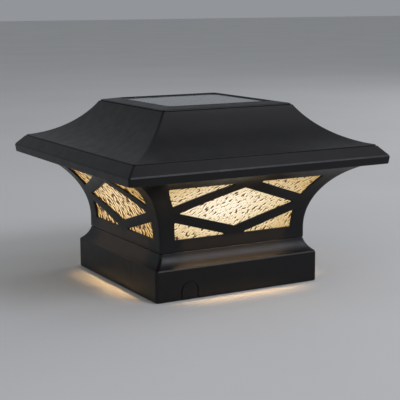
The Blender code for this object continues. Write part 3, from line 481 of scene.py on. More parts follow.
def hammered_glass(name, tint, cut, size):
    """Textured warm panes whose light from behind is painted in as a glow in their emission:
    near white in the middle, amber towards the corners.

    The tint dims the painted glow, the cut says how much of the relief is painted dark as shade
    and how strong the painted glints beside it are, and the size is that of its drops.
    """
    glass = Finish(name, "UV", Roughness=0.18, IOR=1.48, Emission_Strength=1.0)
    # Painted glow: a pool of light in the emission colour, brightest in the middle, stands in for
    # the light from inside.
    glow = glass.node("TexGradient", gradient_type="SPHERICAL")
    spread = glass.mapped(glass.place, Scale=(1.25, 2.7, 1.0), Location=(0.10, -0.06, 0.0))
    glass.link(spread, glow.inputs["Vector"])
    stops = (
        (0.00, (0.46, 0.31, 0.125)),
        (0.30, (0.62, 0.45, 0.215)),
        (0.58, (0.82, 0.67, 0.42)),
        (0.90, (0.98, 0.89, 0.70)),
    )
    warm = [(at, tuple(c * t for c, t in zip(colour, tint))) for at, colour in stops]
    warm = glass.ramp(glow.outputs["Fac"], *warm)
    # The relief's painted shading: drawn-out drops that lean over, with painted shade along one
    # edge and a painted highlight along the other.
    grain = glass.node("UVMap", uv_map="grain").outputs["UV"]

    def leaning(angle, size, length, shift=0.0):
        """Noise drawn out along an angle in degrees, moved sideways by shift."""
        turn, move = (0, 0, -math.radians(angle)), (0.3 * shift, shift, 0)
        lean = glass.mapped(grain, Rotation=turn, Location=move)
        drawn = glass.mapped(lean, Scale=(1 / length, 1.0, 1.0))
        return glass.noise(size, 1.0, 0.4, drawn, 0.3)

    drops, beside = (leaning(42, size, 2.3, shift) for shift in (0.0, 0.5 * size))
    ripples = leaning(38, 0.7 * MM, 2.2)
    # Painted shade: the dark edges of the drops, where the glass bends the light away.
    dark = glass.ramp(
        drops,
        (cut - 0.075, (0.07, 0.035, 0.015)),
        (cut - 0.035, (0.36, 0.26, 0.16)),
        (cut, 1.0),
        (0.75, (0.92, 0.90, 0.86)),
    )
    # Painted highlights: light glints beside the dark edges, stronger where the cut is higher.
    painted_glint = 1.3 + 6.0 * (cut - 0.42)
    painted_glint_colour = (painted_glint, 1.05 * painted_glint, 1.15 * painted_glint)
    painted_glint_rim = glass.ramp(beside, (cut - 0.08, painted_glint_colour), (cut + 0.02, 1.0))
    # Painted shade and highlights of the fine ripples.
    ripple_shade = glass.ramp(
        ripples, (0.34, (0.62, 0.52, 0.40)), (0.44, (0.98, 0.98, 0.97)), (0.66, 1.06)
    )
    # relief holds painted shade and highlights only; the bumps themselves come from the Bump nodes.
    relief = glass.mix(1.0, glass.mix(1.0, dark, painted_glint_rim, "MULTIPLY"), ripple_shade, "MULTIPLY")
    lit = glass.mix(1.0, warm, relief, "MULTIPLY")
    # The painted glow and painted relief shading go into the emission, and a fifth of them into the
    # base colour.
    glass.feed(lit, "Emission Color")
    glass.feed(glass.mix(0.8, lit, (0.06, 0.045, 0.025)), "Base Color")
    glass.bump((drops, 0.6 * MM, 0.6), (ripples, 0.3 * MM, 0.5))
    return glass.material


def solar_cells():
    """Dark blue polycrystalline strips with thin silver fingers."""
    crystal_size, finger_spacing = 3.2 * MM, 2.0 * MM
    cell = Finish("solar_cells", Roughness=0.3)
    crystal = cell.node("TexVoronoi", feature="F1")
    crystal.inputs["Scale"].default_value = 1 / crystal_size
    cell.link(cell.place, crystal.inputs["Vector"])
    tones = ((0.1, (0.006, 0.009, 0.020)), (0.9, (0.012, 0.020, 0.046)))
    blue = cell.ramp(crystal.outputs["Color"], *tones)
    fingers = cell.node("TexWave", wave_type="BANDS", bands_direction="X")
    # A scale of 1 gives 3.2 bands a metre.
    fingers.inputs["Scale"].default_value = 1 / (3.2 * finger_spacing)
    cell.link(cell.place, fingers.inputs["Vector"])
    line = cell.ramp(fingers.outputs["Fac"], (0.955, 0.0), (0.985, 1.0))
    cell.feed(cell.mix(line, blue, (0.32, 0.33, 0.34)), "Base Color")
    cell.bump((cell.noise(0.3 * MM), 0.02 * MM, 0.3))
    return cell.material


def solar_glass():
    """Clear cover glass with a faint bloom of dust."""
    glass = Finish("solar_glass", Transmission_Weight=1.0, IOR=1.5)
    smear = glass.noise(13 * MM, 4.0, 0.6)
    glass.shade("Roughness", smear, (0.35, 0.04), (0.75, 0.09))
    glass.shade("Base Color", smear, (0.3, (0.86, 0.89, 0.92)), (0.8, (0.93, 0.95, 0.97)))
    return glass.material


def plated_steel():
    """Zinc-plated sheet and screws, with the faint grain of rolling."""
    steel = Finish("plated_steel", Metallic=1.0)
    stretched = steel.mapped(steel.place, Scale=(1.0, 14.0, 14.0))
    grain = steel.noise(4.0 * MM, 4.0, 0.6, stretched)
    cloud = steel.noise(8 * MM, 4.0)
    tone = steel.ramp(cloud, (0.3, (0.50, 0.50, 0.49)), (0.7, (0.66, 0.65, 0.63)))
    steel.feed(steel.mix(0.35, tone, steel.ramp(grain, (0.3, 0.42), (0.7, 0.72))), "Base Color")
    steel.shade("Roughness", grain, (0.3, 0.26), (0.7, 0.42))
    steel.bump((grain, 0.01 * MM, 0.4))
    return steel.material


def moulded(name, dark, light, roughness, grain=0.45 * MM):
    """Moulded plastic or rubber: two close tones, a fine grain and a little wear in its gloss."""
    plastic = Finish(name)
    cloud = plastic.noise(14 * MM, 4.0, 0.6)
    plastic.shade("Base Color", cloud, (0.3, dark), (0.75, light))
    smear = plastic.noise(5 * MM, 4.0, 0.6)
    plastic.shade("Roughness", smear, (0.3, roughness - 0.06), (0.75, roughness + 0.08))
    plastic.bump((plastic.noise(grain, 2.0), 0.03 * MM, 0.35))
    return plastic.material


def frosted_plastic():
    """Milky diffuser plastic with warm light coming through it, painted in as a glow in its
    emission.
    """
    plastic = Finish("frosted_plastic", Transmission_Weight=0.25, IOR=1.49, Emission_Strength=0.35)
    milk = plastic.noise(7 * MM, 4.0)
    plastic.shade("Base Color", milk, (0.3, (0.80, 0.76, 0.66)), (0.7, (0.90, 0.87, 0.78)))
    # Painted glow: the emission stands in for the LEDs' light through the diffuser.
    plastic.shade("Emission Color", milk, (0.3, (1.0, 0.72, 0.40)), (0.7, (1.0, 0.80, 0.50)))
    plastic.shade("Roughness", plastic.noise(0.8 * MM), (0.3, 0.38), (0.7, 0.52))
    plastic.bump((plastic.noise(0.5 * MM, 2.0), 0.04 * MM, 0.5))
    return plastic.material


def phosphor():
    """The yellow dome of a lit warm LED."""
    dome = Finish("led_phosphor", Roughness=0.25, Emission_Strength=2.5)
    cloud = dome.noise(1.5 * MM)
    dome.shade("Base Color", cloud, (0.3, (0.85, 0.62, 0.14)), (0.7, (0.95, 0.76, 0.26)))
    dome.shade("Emission Color", cloud, (0.3, (1.0, 0.66, 0.28)), (0.7, (1.0, 0.78, 0.42)))
    return dome.material


def circuit_board():
    """Green solder mask over copper tracks."""
    board = Finish("circuit_board")
    tracks = board.node("TexBrick")
    for socket, value in (
        ("Scale", 1 / (7.5 * MM)),
        ("Color1", (0.012, 0.10, 0.035, 1)),
        ("Color2", (0.016, 0.13, 0.045, 1)),
        ("Mortar", (0.030, 0.21, 0.075, 1)),
        ("Mortar Size", 0.035),
    ):
        tracks.inputs[socket].default_value = value
    board.link(board.place, tracks.inputs["Vector"])
    board.feed(tracks.outputs["Color"], "Base Color")
    board.shade("Roughness", board.noise(3 * MM), (0.3, 0.26), (0.7, 0.38))
    board.bump((tracks.outputs["Fac"], 0.03 * MM, 0.4))
    return board.material


def pale_floor():
    floor = Finish("pale_floor", Roughness=0.75, Specular_IOR_Level=0.2)
    cloud = floor.noise(0.25, 4.0)
    floor.shade("Base Color", cloud, (0.3, (0.70, 0.70, 0.69)), (0.7, (0.74, 0.74, 0.73)))
    return floor.material


# ---- castings


def make_collar(coat):
    """The square skirt over the post, with a cove on top and the wire knock-out in its front."""
    low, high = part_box("base_collar")
    half, top = high.x, high.z
    bevel = 0.4 * MM
    profile = [(half - bevel, low.z), (half, low.z + bevel), (half, COLLAR_FACE_TOP)]
    profile += arc_points(COVE, COVE_RADIUS, COVE_BOTTOM.y, top, 14)
    profile += [(LEDGE_HALF, top), (LEDGE_HALF, LEDGE_BOTTOM)]
    lining = COVE_RADIUS + WALL
    foot = COVE.y - math.sqrt(lining**2 - (COVE.x - COLLAR_INNER) ** 2)
    profile += reversed(arc_points(COVE, lining, foot, LEDGE_BOTTOM, 6))
    profile.append((COLLAR_INNER, low.z))
    profile = soften(profile, 0.5 * MM, closed=True, steps=3)
    bm = add_sweep(bmesh.new(), profile, COLLAR_CORNER, closed=True)
    body = mesh_from(bm, "collar_body")

    # The knock-out's groove: an arch that is open below the rim.
    cut = bmesh.new()
    spring, steps = KNOCKOUT_HEIGHT - KNOCKOUT_HALF, 24
    outline = []
    for radius, order in ((KNOCKOUT_HALF + GROOVE / 2, 1), (KNOCKOUT_HALF - GROOVE / 2, -1)):
        edge = [(KNOCKOUT_X - radius, low.z - MM)]
        for step in range(steps + 1):
            angle = math.pi * (1 - step / steps)
            edge.append((KNOCKOUT_X + radius * math.cos(angle), spring + radius * math.sin(angle)))
        edge.append((KNOCKOUT_X + radius, low.z - MM))
        outline += edge[::order]
    depths = (-half - MM, -half + GROOVE)
    add_loft(cut, [[Vector((x, y, z)) for x, z in outline] for y in depths])
    mesh = carved(body, [mesh_from(cut, "knockout")])
    add_piece("collar_casting", mesh, "lantern", coat, "black_coat", "base_collar")


def stile_edge(z):
    """How far from the middle of a side its windows reach at height z."""
    return flare_half(z) - STILE_WIDTH - STILE_WIDENING * (z - WINDOW_BOTTOM) ** 2


def window_corners():
    """The diamond, and the four corner triangles round it, of one side."""
    middle, across = DIAMOND_MIDDLE, DIAMOND_HALF_WIDTH
    top, bottom = middle + DIAMOND_RISE, middle - DIAMOND_DROP
    outlines = [[(across, middle), (0, top), (-across, middle), (0, bottom)]]
    for edge, turn, reach in ((WINDOW_TOP, 1, DIAMOND_RISE), (WINDOW_BOTTOM, -1, DIAMOND_DROP)):
        slope = reach / across
        bar = BAR_WIDTH * math.sqrt(1 + slope**2)  # its width measured upright
        peak = middle + turn * (reach + bar)
        inner_x = abs(peak - edge) / slope
        side_z = peak
        for _ in range(6):  # closes in on where the bar's edge meets the stile
            side_z = peak - turn * slope * stile_edge(side_z)
        corner = [(inner_x, edge), (stile_edge(edge), edge), (stile_edge(side_z), side_z)]
        outlines += [corner, [(-x, z) for x, z in corner]]
    return [[Vector(point) for point in outline] for outline in outlines]


def window_loop(corners):
    """Points round a window, each with the direction out of it."""
    radius, steps = WINDOW_CORNER, 5
    arcs = []
    for i, corner in enumerate(corners):
        before = (corners[i - 1] - corner).normalized()
        after = (corners[(i + 1) % len(corners)] - corner).normalized()
        half_angle = before.angle(after) / 2
        centre = corner + (before + after).normalized() * radius / math.sin(half_angle)
        start = corner + before * radius / math.tan(half_angle) - centre
        end = corner + after * radius / math.tan(half_angle) - centre
        first = math.atan2(start.y, start.x)
        sweep = math.atan2(start.x * end.y - start.y * end.x, start.dot(end))
        arc = []
        for step in range(steps + 1):
            angle = first + sweep * step / steps
            out = Vector((math.cos(angle), math.sin(angle)))
            arc.append((centre + out * radius, out))
        arcs.append(arc)
    loop = []
    for i, arc in enumerate(arcs):
        loop += arc
        last, out = arc[-1]
        following = arcs[(i + 1) % len(arcs)][0][0]
        cuts = math.ceil((following - last).length / WINDOW_SPACING)
        loop += [(last.lerp(following, k / cuts), out) for k in range(1, cuts)]
    return loop


def inside(point, outline):
    """Whether a point lies inside a closed outline."""
    found = False
    for a, b in zip(outline, outline[1:] + outline[:1]):
        if (a.y > point.y) != (b.y > point.y):
            found ^= point.x < a.x + (point.y - a.y) * (b.x - a.x) / (b.y - a.y)
    return found


def lattice_net(levels, depth, holes):
    """A flat net of triangles over one side, between its corners, with the holes left open."""
    outer = [flare_half(z, depth) - LANTERN_CORNER for z in levels]
    right, left = ([Vector((turn * x, z)) for x, z in zip(outer, levels)] for turn in (1, -1))
    outlines = [right[::-1] + left] + holes
    points, edges = [], []
    for outline in outlines:
        start = len(points)
        points += outline
        edges += [(start + i, start + (i + 1) % len(outline)) for i in range(len(outline))]
    border = list(points)
    z = levels[0] + NET_SPACING
    while z < levels[-1] - NET_SPACING / 2:
        reach = flare_half(z, depth) - LANTERN_CORNER
        count = int(2 * reach / NET_SPACING)
        for k in range(1, count):
            point = Vector((-reach + 2 * reach * k / count, z))
            if any(inside(point, hole) for hole in holes):
                continue
            if min((point - other).length_squared for other in border) > NET_CLEARANCE**2:
                points.append(point)
        z += NET_SPACING
    places, _, faces, *_ = geometry.delaunay_2d_cdt(points, edges, [], 0, 1e-9)
    triangles = []
    for face in faces:
        middle = sum((places[i] for i in face), Vector((0, 0))) / len(face)
        if inside(middle, outlines[0]) and not any(inside(middle, hole) for hole in holes):
            triangles.append(face)
    return places, triangles


def add_lattice_side(bm, side, windows, bottoms):
    """One side of the lantern: both its faces, and the rounded edges and walls of its windows."""
    turn = quarter_turn(side)

    def place(point, depth):
        """Carries a point of the flat net on to the flared surface at that depth."""
        return turn @ Vector((point.x, -flare_half(point.y, depth), point.y))

    for depth, bottom, offset in ((0.0, bottoms[0], WINDOW_EDGE), (LATTICE_WALL, bottoms[1], 0.0)):
        holes = [[point + out * offset for point, out in loop] for loop in windows]
        points, triangles = lattice_net(flare_levels(bottom, SOFFIT, LEVEL_SPACING), depth, holes)
        made = [bm.verts.new(place(point, depth)) for point in points]
        for face in triangles:
            bm.faces.new([made[i] for i in face])
    steps = 4
    for loop in windows:
        rings = []
        for step in range(steps + 1):
            angle = math.pi / 2 * step / steps
            offset = WINDOW_EDGE * (1 - math.sin(angle))
            depth = WINDOW_EDGE * (1 - math.cos(angle))
            rings.append([place(point + out * offset, depth) for point, out in loop])
        rings.append([place(point, LATTICE_WALL) for point, out in loop])
        add_loft(bm, rings, capped=False)


def make_lantern(coat):
    """The flared lattice casting, with a rib round its foot and a flange round its top."""
    low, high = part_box("lantern_frame")
    windows = [window_loop(corners) for corners in window_corners()]
    bm = bmesh.new()
    for side in range(4):
        add_lattice_side(bm, side, windows, (low.z, RIB_TOP))
    steps = 4  # round a corner
    for depth, bottom in ((0.0, low.z), (LATTICE_WALL, RIB_TOP)):
        levels = flare_levels(bottom, SOFFIT, LEVEL_SPACING)
        rings = [square_ring(flare_half(z, depth), z, LANTERN_CORNER, steps) for z in levels]
        for start in range(0, len(rings[0]), steps + 1):
            arcs = [ring[start : start + steps + 1] for ring in rings]
            made = [[bm.verts.new(point) for point in arc] for arc in arcs]
            for first, second in zip(made, made[1:]):
                for i in range(steps):
                    bm.faces.new((first[i], first[i + 1], second[i + 1], second[i]))
    neck = flare_half(SOFFIT, LATTICE_WALL)
    flange = [(flare_half(SOFFIT), SOFFIT), (high.x, SOFFIT), (high.x, high.z)]
    flange += [(neck, high.z), (neck, SOFFIT)]
    rib = [(LANTERN_HALF, low.z), (LEDGE_HALF, low.z), (LEDGE_HALF, RIB_TOP)]
    rib.append((LANTERN_HALF - LATTICE_WALL, RIB_TOP))
    for profile in (flange, rib):
        profile = soften(profile, 0.5 * MM, steps=3)
        add_sweep(bm, profile, LANTERN_CORNER, capped=False, steps=steps)
    bmesh.ops.remove_doubles(bm, verts=bm.verts, dist=0.002 * MM)
    add_shape("lantern_casting", bm, "lantern", coat, "black_coat", "lantern_frame", angle=40)


def roof_corner(half):
    """The corner radius at a half width: round in the crown's pocket, sharp along the hips."""
    share = (half - POCKET_HALF) / (SLOPE_HEAD.x - POCKET_HALF)
    return CROWN_CORNER + (HIP_CORNER - CROWN_CORNER) * min(1.0, max(0.0, share))


def make_roof(coat):
    """The hipped casting: a raised crown with a pocket, a hollow slope and a bevelled brim."""
    low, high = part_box("roof_shell")
    brim, top = high.x, high.z
    crown = [
        (POCKET_HALF, POCKET_FLOOR),
        (POCKET_HALF, top - 0.5 * MM),
        (POCKET_HALF + 0.6 * MM, top),
        (42.7 * MM, top - 1.2 * MM),
        (43.35 * MM, top - 1.5 * MM),
        (43.5 * MM, top - 1.8 * MM),
    ]
    crown_groove = [(43.4 * MM, top - 2.45 * MM), (43.85 * MM, top - 2.6 * MM)]
    slope = reversed(arc_points(SLOPE, SLOPE_RADIUS, SLOPE_FOOT.y, top - 2.1 * MM, 30))
    bevel_groove = [
        (SLOPE_FOOT.x + 0.05 * MM, SLOPE_FOOT.y - 0.95 * MM),
        (SLOPE_FOOT.x + 0.55 * MM, SLOPE_FOOT.y - 1.15 * MM),
        (SLOPE_FOOT.x + 0.68 * MM, SLOPE_FOOT.y - 0.74 * MM),
    ]
    edge = [
        (brim - 0.45 * MM, BEVEL_FOOT),
        (brim, FASCIA_TOP),
        (brim - 0.5 * MM, low.z + 0.4 * MM),
        (brim - 0.9 * MM, low.z),
        (BRIM_INNER, low.z),
        (BRIM_INNER, ROOF_LEDGE),
        (ROOF_LEDGE_INNER, ROOF_LEDGE),
    ]
    lining = SLOPE_RADIUS + WALL
    foot = SLOPE.y - math.sqrt(lining**2 - (SLOPE.x - ROOF_LEDGE_INNER) ** 2)
    inner = arc_points(SLOPE, lining, foot, ROOF_CEILING, 12)
    profile = [*crown, *crown_groove, *slope, *bevel_groove, *edge, *inner]
    bm = add_sweep(bmesh.new(), soften(profile, 0.3 * MM), roof_corner, steps=10)
    body = mesh_from(bm, "roof_body")
    cutters = []
    for node in SET_SCREWS:
        start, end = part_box(node)
        bm = turned([(HOLE_RADIUS, -HOLE_REACH), (HOLE_RADIUS, HOLE_REACH)], 32)
        bm.transform(laid_along_y((start + end) / 2))
        cutters.append(mesh_from(bm, "set_screw_hole"))
    mesh = carved(body, cutters)
    add_piece("roof_casting", mesh, "roof", coat, "black_coat", "roof_shell")


# ---- glazing and panel


def pane_relief(x, up):
    """How far the hammered glass stands out at a place on it: leaning strokes and dimples."""
    turned = Vector((x * 0.84 + up * 0.54, up * 0.84 - x * 0.54))
    stroke = noise.noise(Vector((turned.x / (3.6 * MM), turned.y / (1.3 * MM), 0.3)))
    dimple = noise.noise(Vector((x / (2.4 * MM), up / (2.4 * MM), 5.1)))
    return PANE_RELIEF * (0.65 * stroke + 0.35 * dimple)


def pane_grids():
    """The front pane's outer and inner points in rows, and their places on the flat glass.

    The glass follows the flare, and its relief is on the outside.
    """
    low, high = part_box("pane_front")
    inner_depth = PANE_DEPTH + PANE_THICKNESS
    columns = math.ceil(2 * high.x / PANE_CELL)
    outer, inner, places = [], [], []
    up = -0.5 * (high.z - low.z)
    last = None
    for z in flare_levels(low.z, high.z, PANE_CELL):
        width = flare_half(z, inner_depth) - PANE_MARGIN
        here = Vector((flare_half(z, PANE_DEPTH), z))
        up += (here - last).length if last else 0.0
        last = here
        rows = ([], [], [])
        for k in range(columns + 1):
            x = width * (2 * k / columns - 1)
            # The relief dies out towards the edges: sideways over a twentieth of the half width.
            ease = min(1.0, (1 - abs(x) / width) * 20, (z - low.z) / MM, (high.z - z) / MM)
            stand = pane_relief(x, up) * max(0.0, ease)
            rows[0].append(Vector((x, -flare_half(z, PANE_DEPTH - stand), z)))
            rows[1].append(Vector((x, -flare_half(z, inner_depth), z)))
            rows[2].append((x, up))
        for grid, row in zip((outer, inner, places), rows):
            grid.append(row)
    return outer, inner, places


def make_panes(facing, shaded_side_glass):
    """A hammered pane behind each lattice. The side panes are cut from the same sheet turned a
    quarter, and take a dimmer, more amber copy of the glass: painted shade for panes seen edge-on.
    """
    outer, inner, places = pane_grids()
    rows, columns = len(outer) - 1, len(outer[0]) - 1
    rim = [(0, c) for c in range(columns)] + [(r, columns) for r in range(rows)]
    rim += [(rows, c) for c in range(columns, 0, -1)] + [(r, 0) for r in range(rows, 0, -1)]
    for side, name in enumerate(SIDES):
        across = side % 2 == 1
        bm = bmesh.new()
        pane_uv = bm.loops.layers.uv.new("pane")
        grain_uv = bm.loops.layers.uv.new("grain")
        front = [[bm.verts.new(point) for point in row] for row in outer]
        back = [[bm.verts.new(point) for point in row] for row in inner]
        quads = []
        for grid in (front, back):
            for r in range(rows):
                for c in range(columns):
                    spots = ((r, c), (r, c + 1), (r + 1, c + 1), (r + 1, c))
                    quads.append([(grid, spot) for spot in spots])
        for a, b in zip(rim, rim[1:] + rim[:1]):
            quads.append([(front, a), (front, b), (back, b), (back, a)])
        for quad in quads:
            face = bm.faces.new([grid[i][j] for grid, (i, j) in quad])
            for loop, (_, (i, j)) in zip(face.loops, quad):
                x, up = places[i][j]
                loop[pane_uv].uv = (x * PANE_UV_SCALE, up * PANE_UV_SCALE)
                loop[grain_uv].uv = (-up, x) if across else (x, up)
        bm.transform(quarter_turn(side))
        # The side panes get the shaded copy of the glass: painted shade for panes seen edge-on.
        made_as = ("lantern", shaded_side_glass if across else facing, "hammered_glass", "pane_" + name)
        add_shape("pane_glass_" + name, bm, *made_as, angle=50)


def make_solar_panel(board, cells, rubber, glass):
    """Cell strips on a board, a rubber seal round it, and a cover glass with ground edges."""
    low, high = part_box("solar_cell_board")
    half = high.x
    bm = add_sweep(bmesh.new(), [(half, low.z), (half, high.z)], CROWN_CORNER)
    add_shape("solar_board", bm, "roof", board, "solar_cell", "solar_cell_board")

    bm = bmesh.new()
    reach = half - CELL_MARGIN
    width = (2 * reach - CELL_GAP * (CELL_STRIPS - 1)) / CELL_STRIPS
    for strip in range(CELL_STRIPS):
        y = strip * (width + CELL_GAP) - reach
        corners = [(-reach, y), (reach, y), (reach, y + width), (-reach, y + width)]
        add_slab(bm, corners, (high.z - CELL_SINK, high.z + CELL_RISE))
    add_shape("solar_cells", bm, "roof", cells, "solar_cell")

    low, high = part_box("panel_seal")
    inner = half + SEAL_GAP
    profile = [(inner, low.z), (high.x, low.z), (high.x, high.z), (inner, high.z)]
    profile = soften(profile, 0.2 * MM, closed=True, steps=2)
    bm = add_sweep(bmesh.new(), profile, CROWN_CORNER, closed=True)
    add_shape("panel_gasket", bm, "roof", rubber, "rubber", "panel_seal")

    low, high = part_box("solar_glass")
    under, over = 0.2 * MM, 0.35 * MM  # the ground edges
    profile = [(high.x - under, low.z), (high.x, low.z + under)]
    profile += [(high.x, high.z - over), (high.x - over, high.z)]
    bm = add_sweep(bmesh.new(), profile, CROWN_CORNER)
    add_shape("solar_cover", bm, "roof", glass, "solar_glass", "solar_glass")


# ---- hardware


def screw_shape(low, high, head):
    """A button-head socket screw that points up from z = low to z = high. head is its radius."""
    sixth = math.pi / 3
    socket = 0.62 * head

    def hexagon(angle):
        return socket * math.cos(sixth / 2) / math.cos((angle + sixth / 2) % sixth - sixth / 2)

    neck = low + HEAD_HEIGHT
    profile = [
        (hexagon, low + 0.55 * HEAD_HEIGHT),
        (hexagon, low),
        (0.86 * head, low),
        (0.96 * head, low + 0.12 * HEAD_HEIGHT),
        (head, low + 0.34 * HEAD_HEIGHT),
        (head, low + 0.9 * HEAD_HEIGHT),
        (0.96 * head, neck),
        (SCREW_SHANK, neck),
    ]
    z = neck + 0.4 * MM
    while z < high - 0.8 * MM:
        profile += [(SCREW_SHANK, z), (0.82 * SCREW_SHANK, z + SCREW_PITCH / 2)]
        z += SCREW_PITCH
    profile += [(SCREW_SHANK, high - 0.5 * MM), (0.5 * SCREW_SHANK, high)]
    return turned(profile, SCREW_SEGMENTS)


def set_screw_shape(radius, length):
    """A headless screw with a round socket at its lower end, centred on the origin."""
    end = length / 2
    profile = [
        (0.5 * radius, 1.1 * MM - end),
        (0.5 * radius, -end),
        (0.85 * radius, -end),
        (radius, 0.2 * MM - end),
        (radius, end - 0.4 * MM),
        (0.5 * radius, end),
    ]
    return turned(profile, SCREW_SEGMENTS)


def make_screws(steel):
    """Every screw, at its CAD node's place."""
    groups = [("base_screw_", "lantern"), ("frame_screw_", "lantern"), ("tray_screw_", "roof")]
    names = [(prefix + corner, body) for prefix, body in groups for corner in CORNERS]
    for node, body in names + [("door_screw", "battery_door")]:
        low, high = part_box(node)
        middle = (low + high) / 2
        bm = screw_shape(low.z, high.z, (high.x - low.x) / 2)
        bm.transform(Matrix.Translation((middle.x, middle.y, 0)))
        add_shape(node + "_part", bm, body, steel, "steel", node)
    for node in SET_SCREWS:
        low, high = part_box(node)
        bm = set_screw_shape((high.x - low.x) / 2, high.y - low.y)
        bm.transform(laid_along_y((low + high) / 2))
        add_shape(node + "_part", bm, "roof", steel, "steel", node)


def make_led_lens(finish):
    """The frosted bowl under the LEDs, with flutes down its side."""
    low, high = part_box("led_lens")
    centre, rim = (low + high) / 2, (high.x - low.x) / 2
    top, inner_rim, middle = high.z - low.z, rim - LENS_WALL, 0.4 * MM
    inner = [(middle, LENS_WALL), (7.0 * MM, LENS_WALL), (11.5 * MM, 2.2 * MM)]
    inner += [(inner_rim, 5.0 * MM), (inner_rim, top), (rim, top)]
    outer = [(rim, 4.5 * MM), (12.3 * MM, 1.2 * MM), (7.3 * MM, 0.0), (middle, 0.0)]
    profile = []
    is_outside = False
    for radius, z in soften(inner + outer, 0.5 * MM):
        is_outside = is_outside or z >= top - 0.6 * MM

        def fluted(angle, radius=radius):
            return radius - LENS_FLUTE_DEPTH * (1 - math.cos(LENS_FLUTES * angle)) / 2

        is_side = is_outside and z < top - 1.5 * MM and radius > 12.0 * MM
        profile.append((fluted if is_side else radius, z))
    bm = turned(profile, 6 * LENS_FLUTES)
    bm.transform(Matrix.Translation((centre.x, centre.y, low.z)))
    add_shape("led_bowl", bm, "roof", finish, "frosted_plastic", "led_lens")


def make_battery(wrap, steel):
    """A cell along X in shrink wrap that is drawn in over both ends, and its cap of bare steel."""
    low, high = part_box("battery")
    radius = (high.z - low.z) / 2
    base, shoulder = low.x, high.x - BATTERY_CAP_HEIGHT
    sleeve = [
        (radius - 1.4 * MM, base + 0.15 * MM),
        (radius - 1.0 * MM, base),
        (radius - 0.35 * MM, base + 0.1 * MM),
        (radius, base + 0.6 * MM),
        (radius, shoulder - 0.8 * MM),
        (radius - 0.3 * MM, shoulder - 0.2 * MM),
        (radius - 0.9 * MM, shoulder),
        (radius - 1.6 * MM, shoulder - 0.05 * MM),
    ]
    cap = [
        (BATTERY_CAP + 1.8 * MM, shoulder),
        (BATTERY_CAP + 0.2 * MM, shoulder + 0.05 * MM),
        (BATTERY_CAP, shoulder + 0.3 * MM),
        (BATTERY_CAP, high.x - 0.3 * MM),
        (BATTERY_CAP - 0.3 * MM, high.x),
    ]
    centre = Vector((0, (low.y + high.y) / 2, (low.z + high.z) / 2))
    turn = Matrix.Translation(centre) @ Matrix.Rotation(math.pi / 2, 4, "Y")
    for name, profile, segments, finish, slot, nodes in (
        ("battery_sleeve", sleeve, 48, wrap, "battery_wrap", ["battery"]),
        ("battery_cap", cap, 32, steel, "steel", []),
    ):
        bm = turned(profile, segments)
        bm.transform(turn)
        add_shape(name, bm, "roof", finish, slot, *nodes)


def make_battery_door(white):
    """The door that the CAD draws, with two rows of grip ribs sunk a little into its outside."""
    add_soft_copy("battery_door", 0.25 * MM, "battery_door", white, "white_plastic")
    low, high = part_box("battery_door")
    underside = high.z - DOOR_THICKNESS
    bm = bmesh.new()
    for middle in (-RIB_MIDDLE, RIB_MIDDLE):
        for row in range(RIB_ROWS):
            y = low.y + RIB_START + row * RIB_SPACING
            left, right = middle - RIB_HALF_LENGTH, middle + RIB_HALF_LENGTH
            outline = [(left, y), (right, y), (right, y + RIB_WIDTH), (left, y + RIB_WIDTH)]
            add_slab(bm, outline, (underside + RIB_HEIGHT, underside - RIB_HEIGHT))
    add_shape("battery_door_grip", bm, "battery_door", white, "white_plastic")


def repaint(finish, *nodes):
    """Gives CAD nodes that keep their own shape a better finish."""
    for node in nodes:
        paint(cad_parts[node].data, finish)


# ---- stage, lights and camera


def make_stage():
    bm = bmesh.new()
    bmesh.ops.create_grid(bm, x_segments=1, y_segments=1, size=9.0)
    bm.transform(Matrix.Translation((0, 0, -0.15 * MM)))
    mesh = bpy.data.meshes.new("floor")
    bm.to_mesh(mesh)
    bm.free()
    paint(mesh, pale_floor())
    add_object("floor", mesh)


def shining(direction):
    """The turn of a light that shines along a direction."""
    return (-direction).to_track_quat("Z", "Y").to_euler()


def area_light(name, size, power, colour):
    light = bpy.data.lights.new(name, "AREA")
    light.shape = "RECTANGLE"
    light.size, light.size_y = size
    light.energy = power
    light.color = colour
    return light


def make_studio():
    """Soft light from around, and four large lights that face the lantern."""
    world = bpy.data.worlds.new("studio")
    bpy.context.scene.world = world
    world.use_nodes = True
    sky = world.node_tree.nodes["Background"]
    sky.inputs["Color"].default_value = (0.90, 0.94, 1.0, 1)
    sky.inputs["Strength"].default_value = 0.32
    for name, place, size, power, colour in (
        ("key", (0.75, -1.20, 1.15), (1.0, 0.7), 11.0, (0.90, 0.91, 1.0)),
        ("fill", (-1.5, -0.70, 1.00), (0.8, 0.8), 2.0, (1.0, 0.96, 0.90)),
        ("top", (0.72, -0.27, 1.35), (0.5, 0.5), 0.7, (0.95, 0.93, 1.0)),
        ("rim", (1.6, 0.3, 0.5), (0.8, 0.5), 5.0, (1.0, 1.0, 1.0)),
    ):
        holder = add_object(name, area_light(name, size, power, colour))
        holder.location = place
        holder.rotation_euler = shining(Vector(LIGHT_TARGET) - Vector(place))


def make_glow():
    """Warm light inside the lantern, and what the panes spill on the castings round them."""
    lamp = bpy.data.lights.new("lantern_glow", "POINT")
    lamp.energy = LAMP_POWER
    lamp.shadow_soft_size = LAMP_RADIUS
    lamp.color = LAMP_COLOUR
    add_object("lantern_glow", lamp).location = LAMP_PLACE
    reach = flare_half(SPILL_HEIGHT) + SPILL_CLEARANCE
    for side, name in enumerate(SIDES):
        spill = area_light("spill_" + name, SPILL_SIZE, SPILL_POWER, SPILL_COLOUR)
        spill.spread = SPILL_SPREAD
        holder = add_object("spill_" + name, spill)
        holder.visible_camera = False
        holder.location = quarter_turn(side) @ Vector((0, -reach, SPILL_HEIGHT))
        holder.rotation_euler = shining(quarter_turn(side) @ Vector(SPILL_AIM))


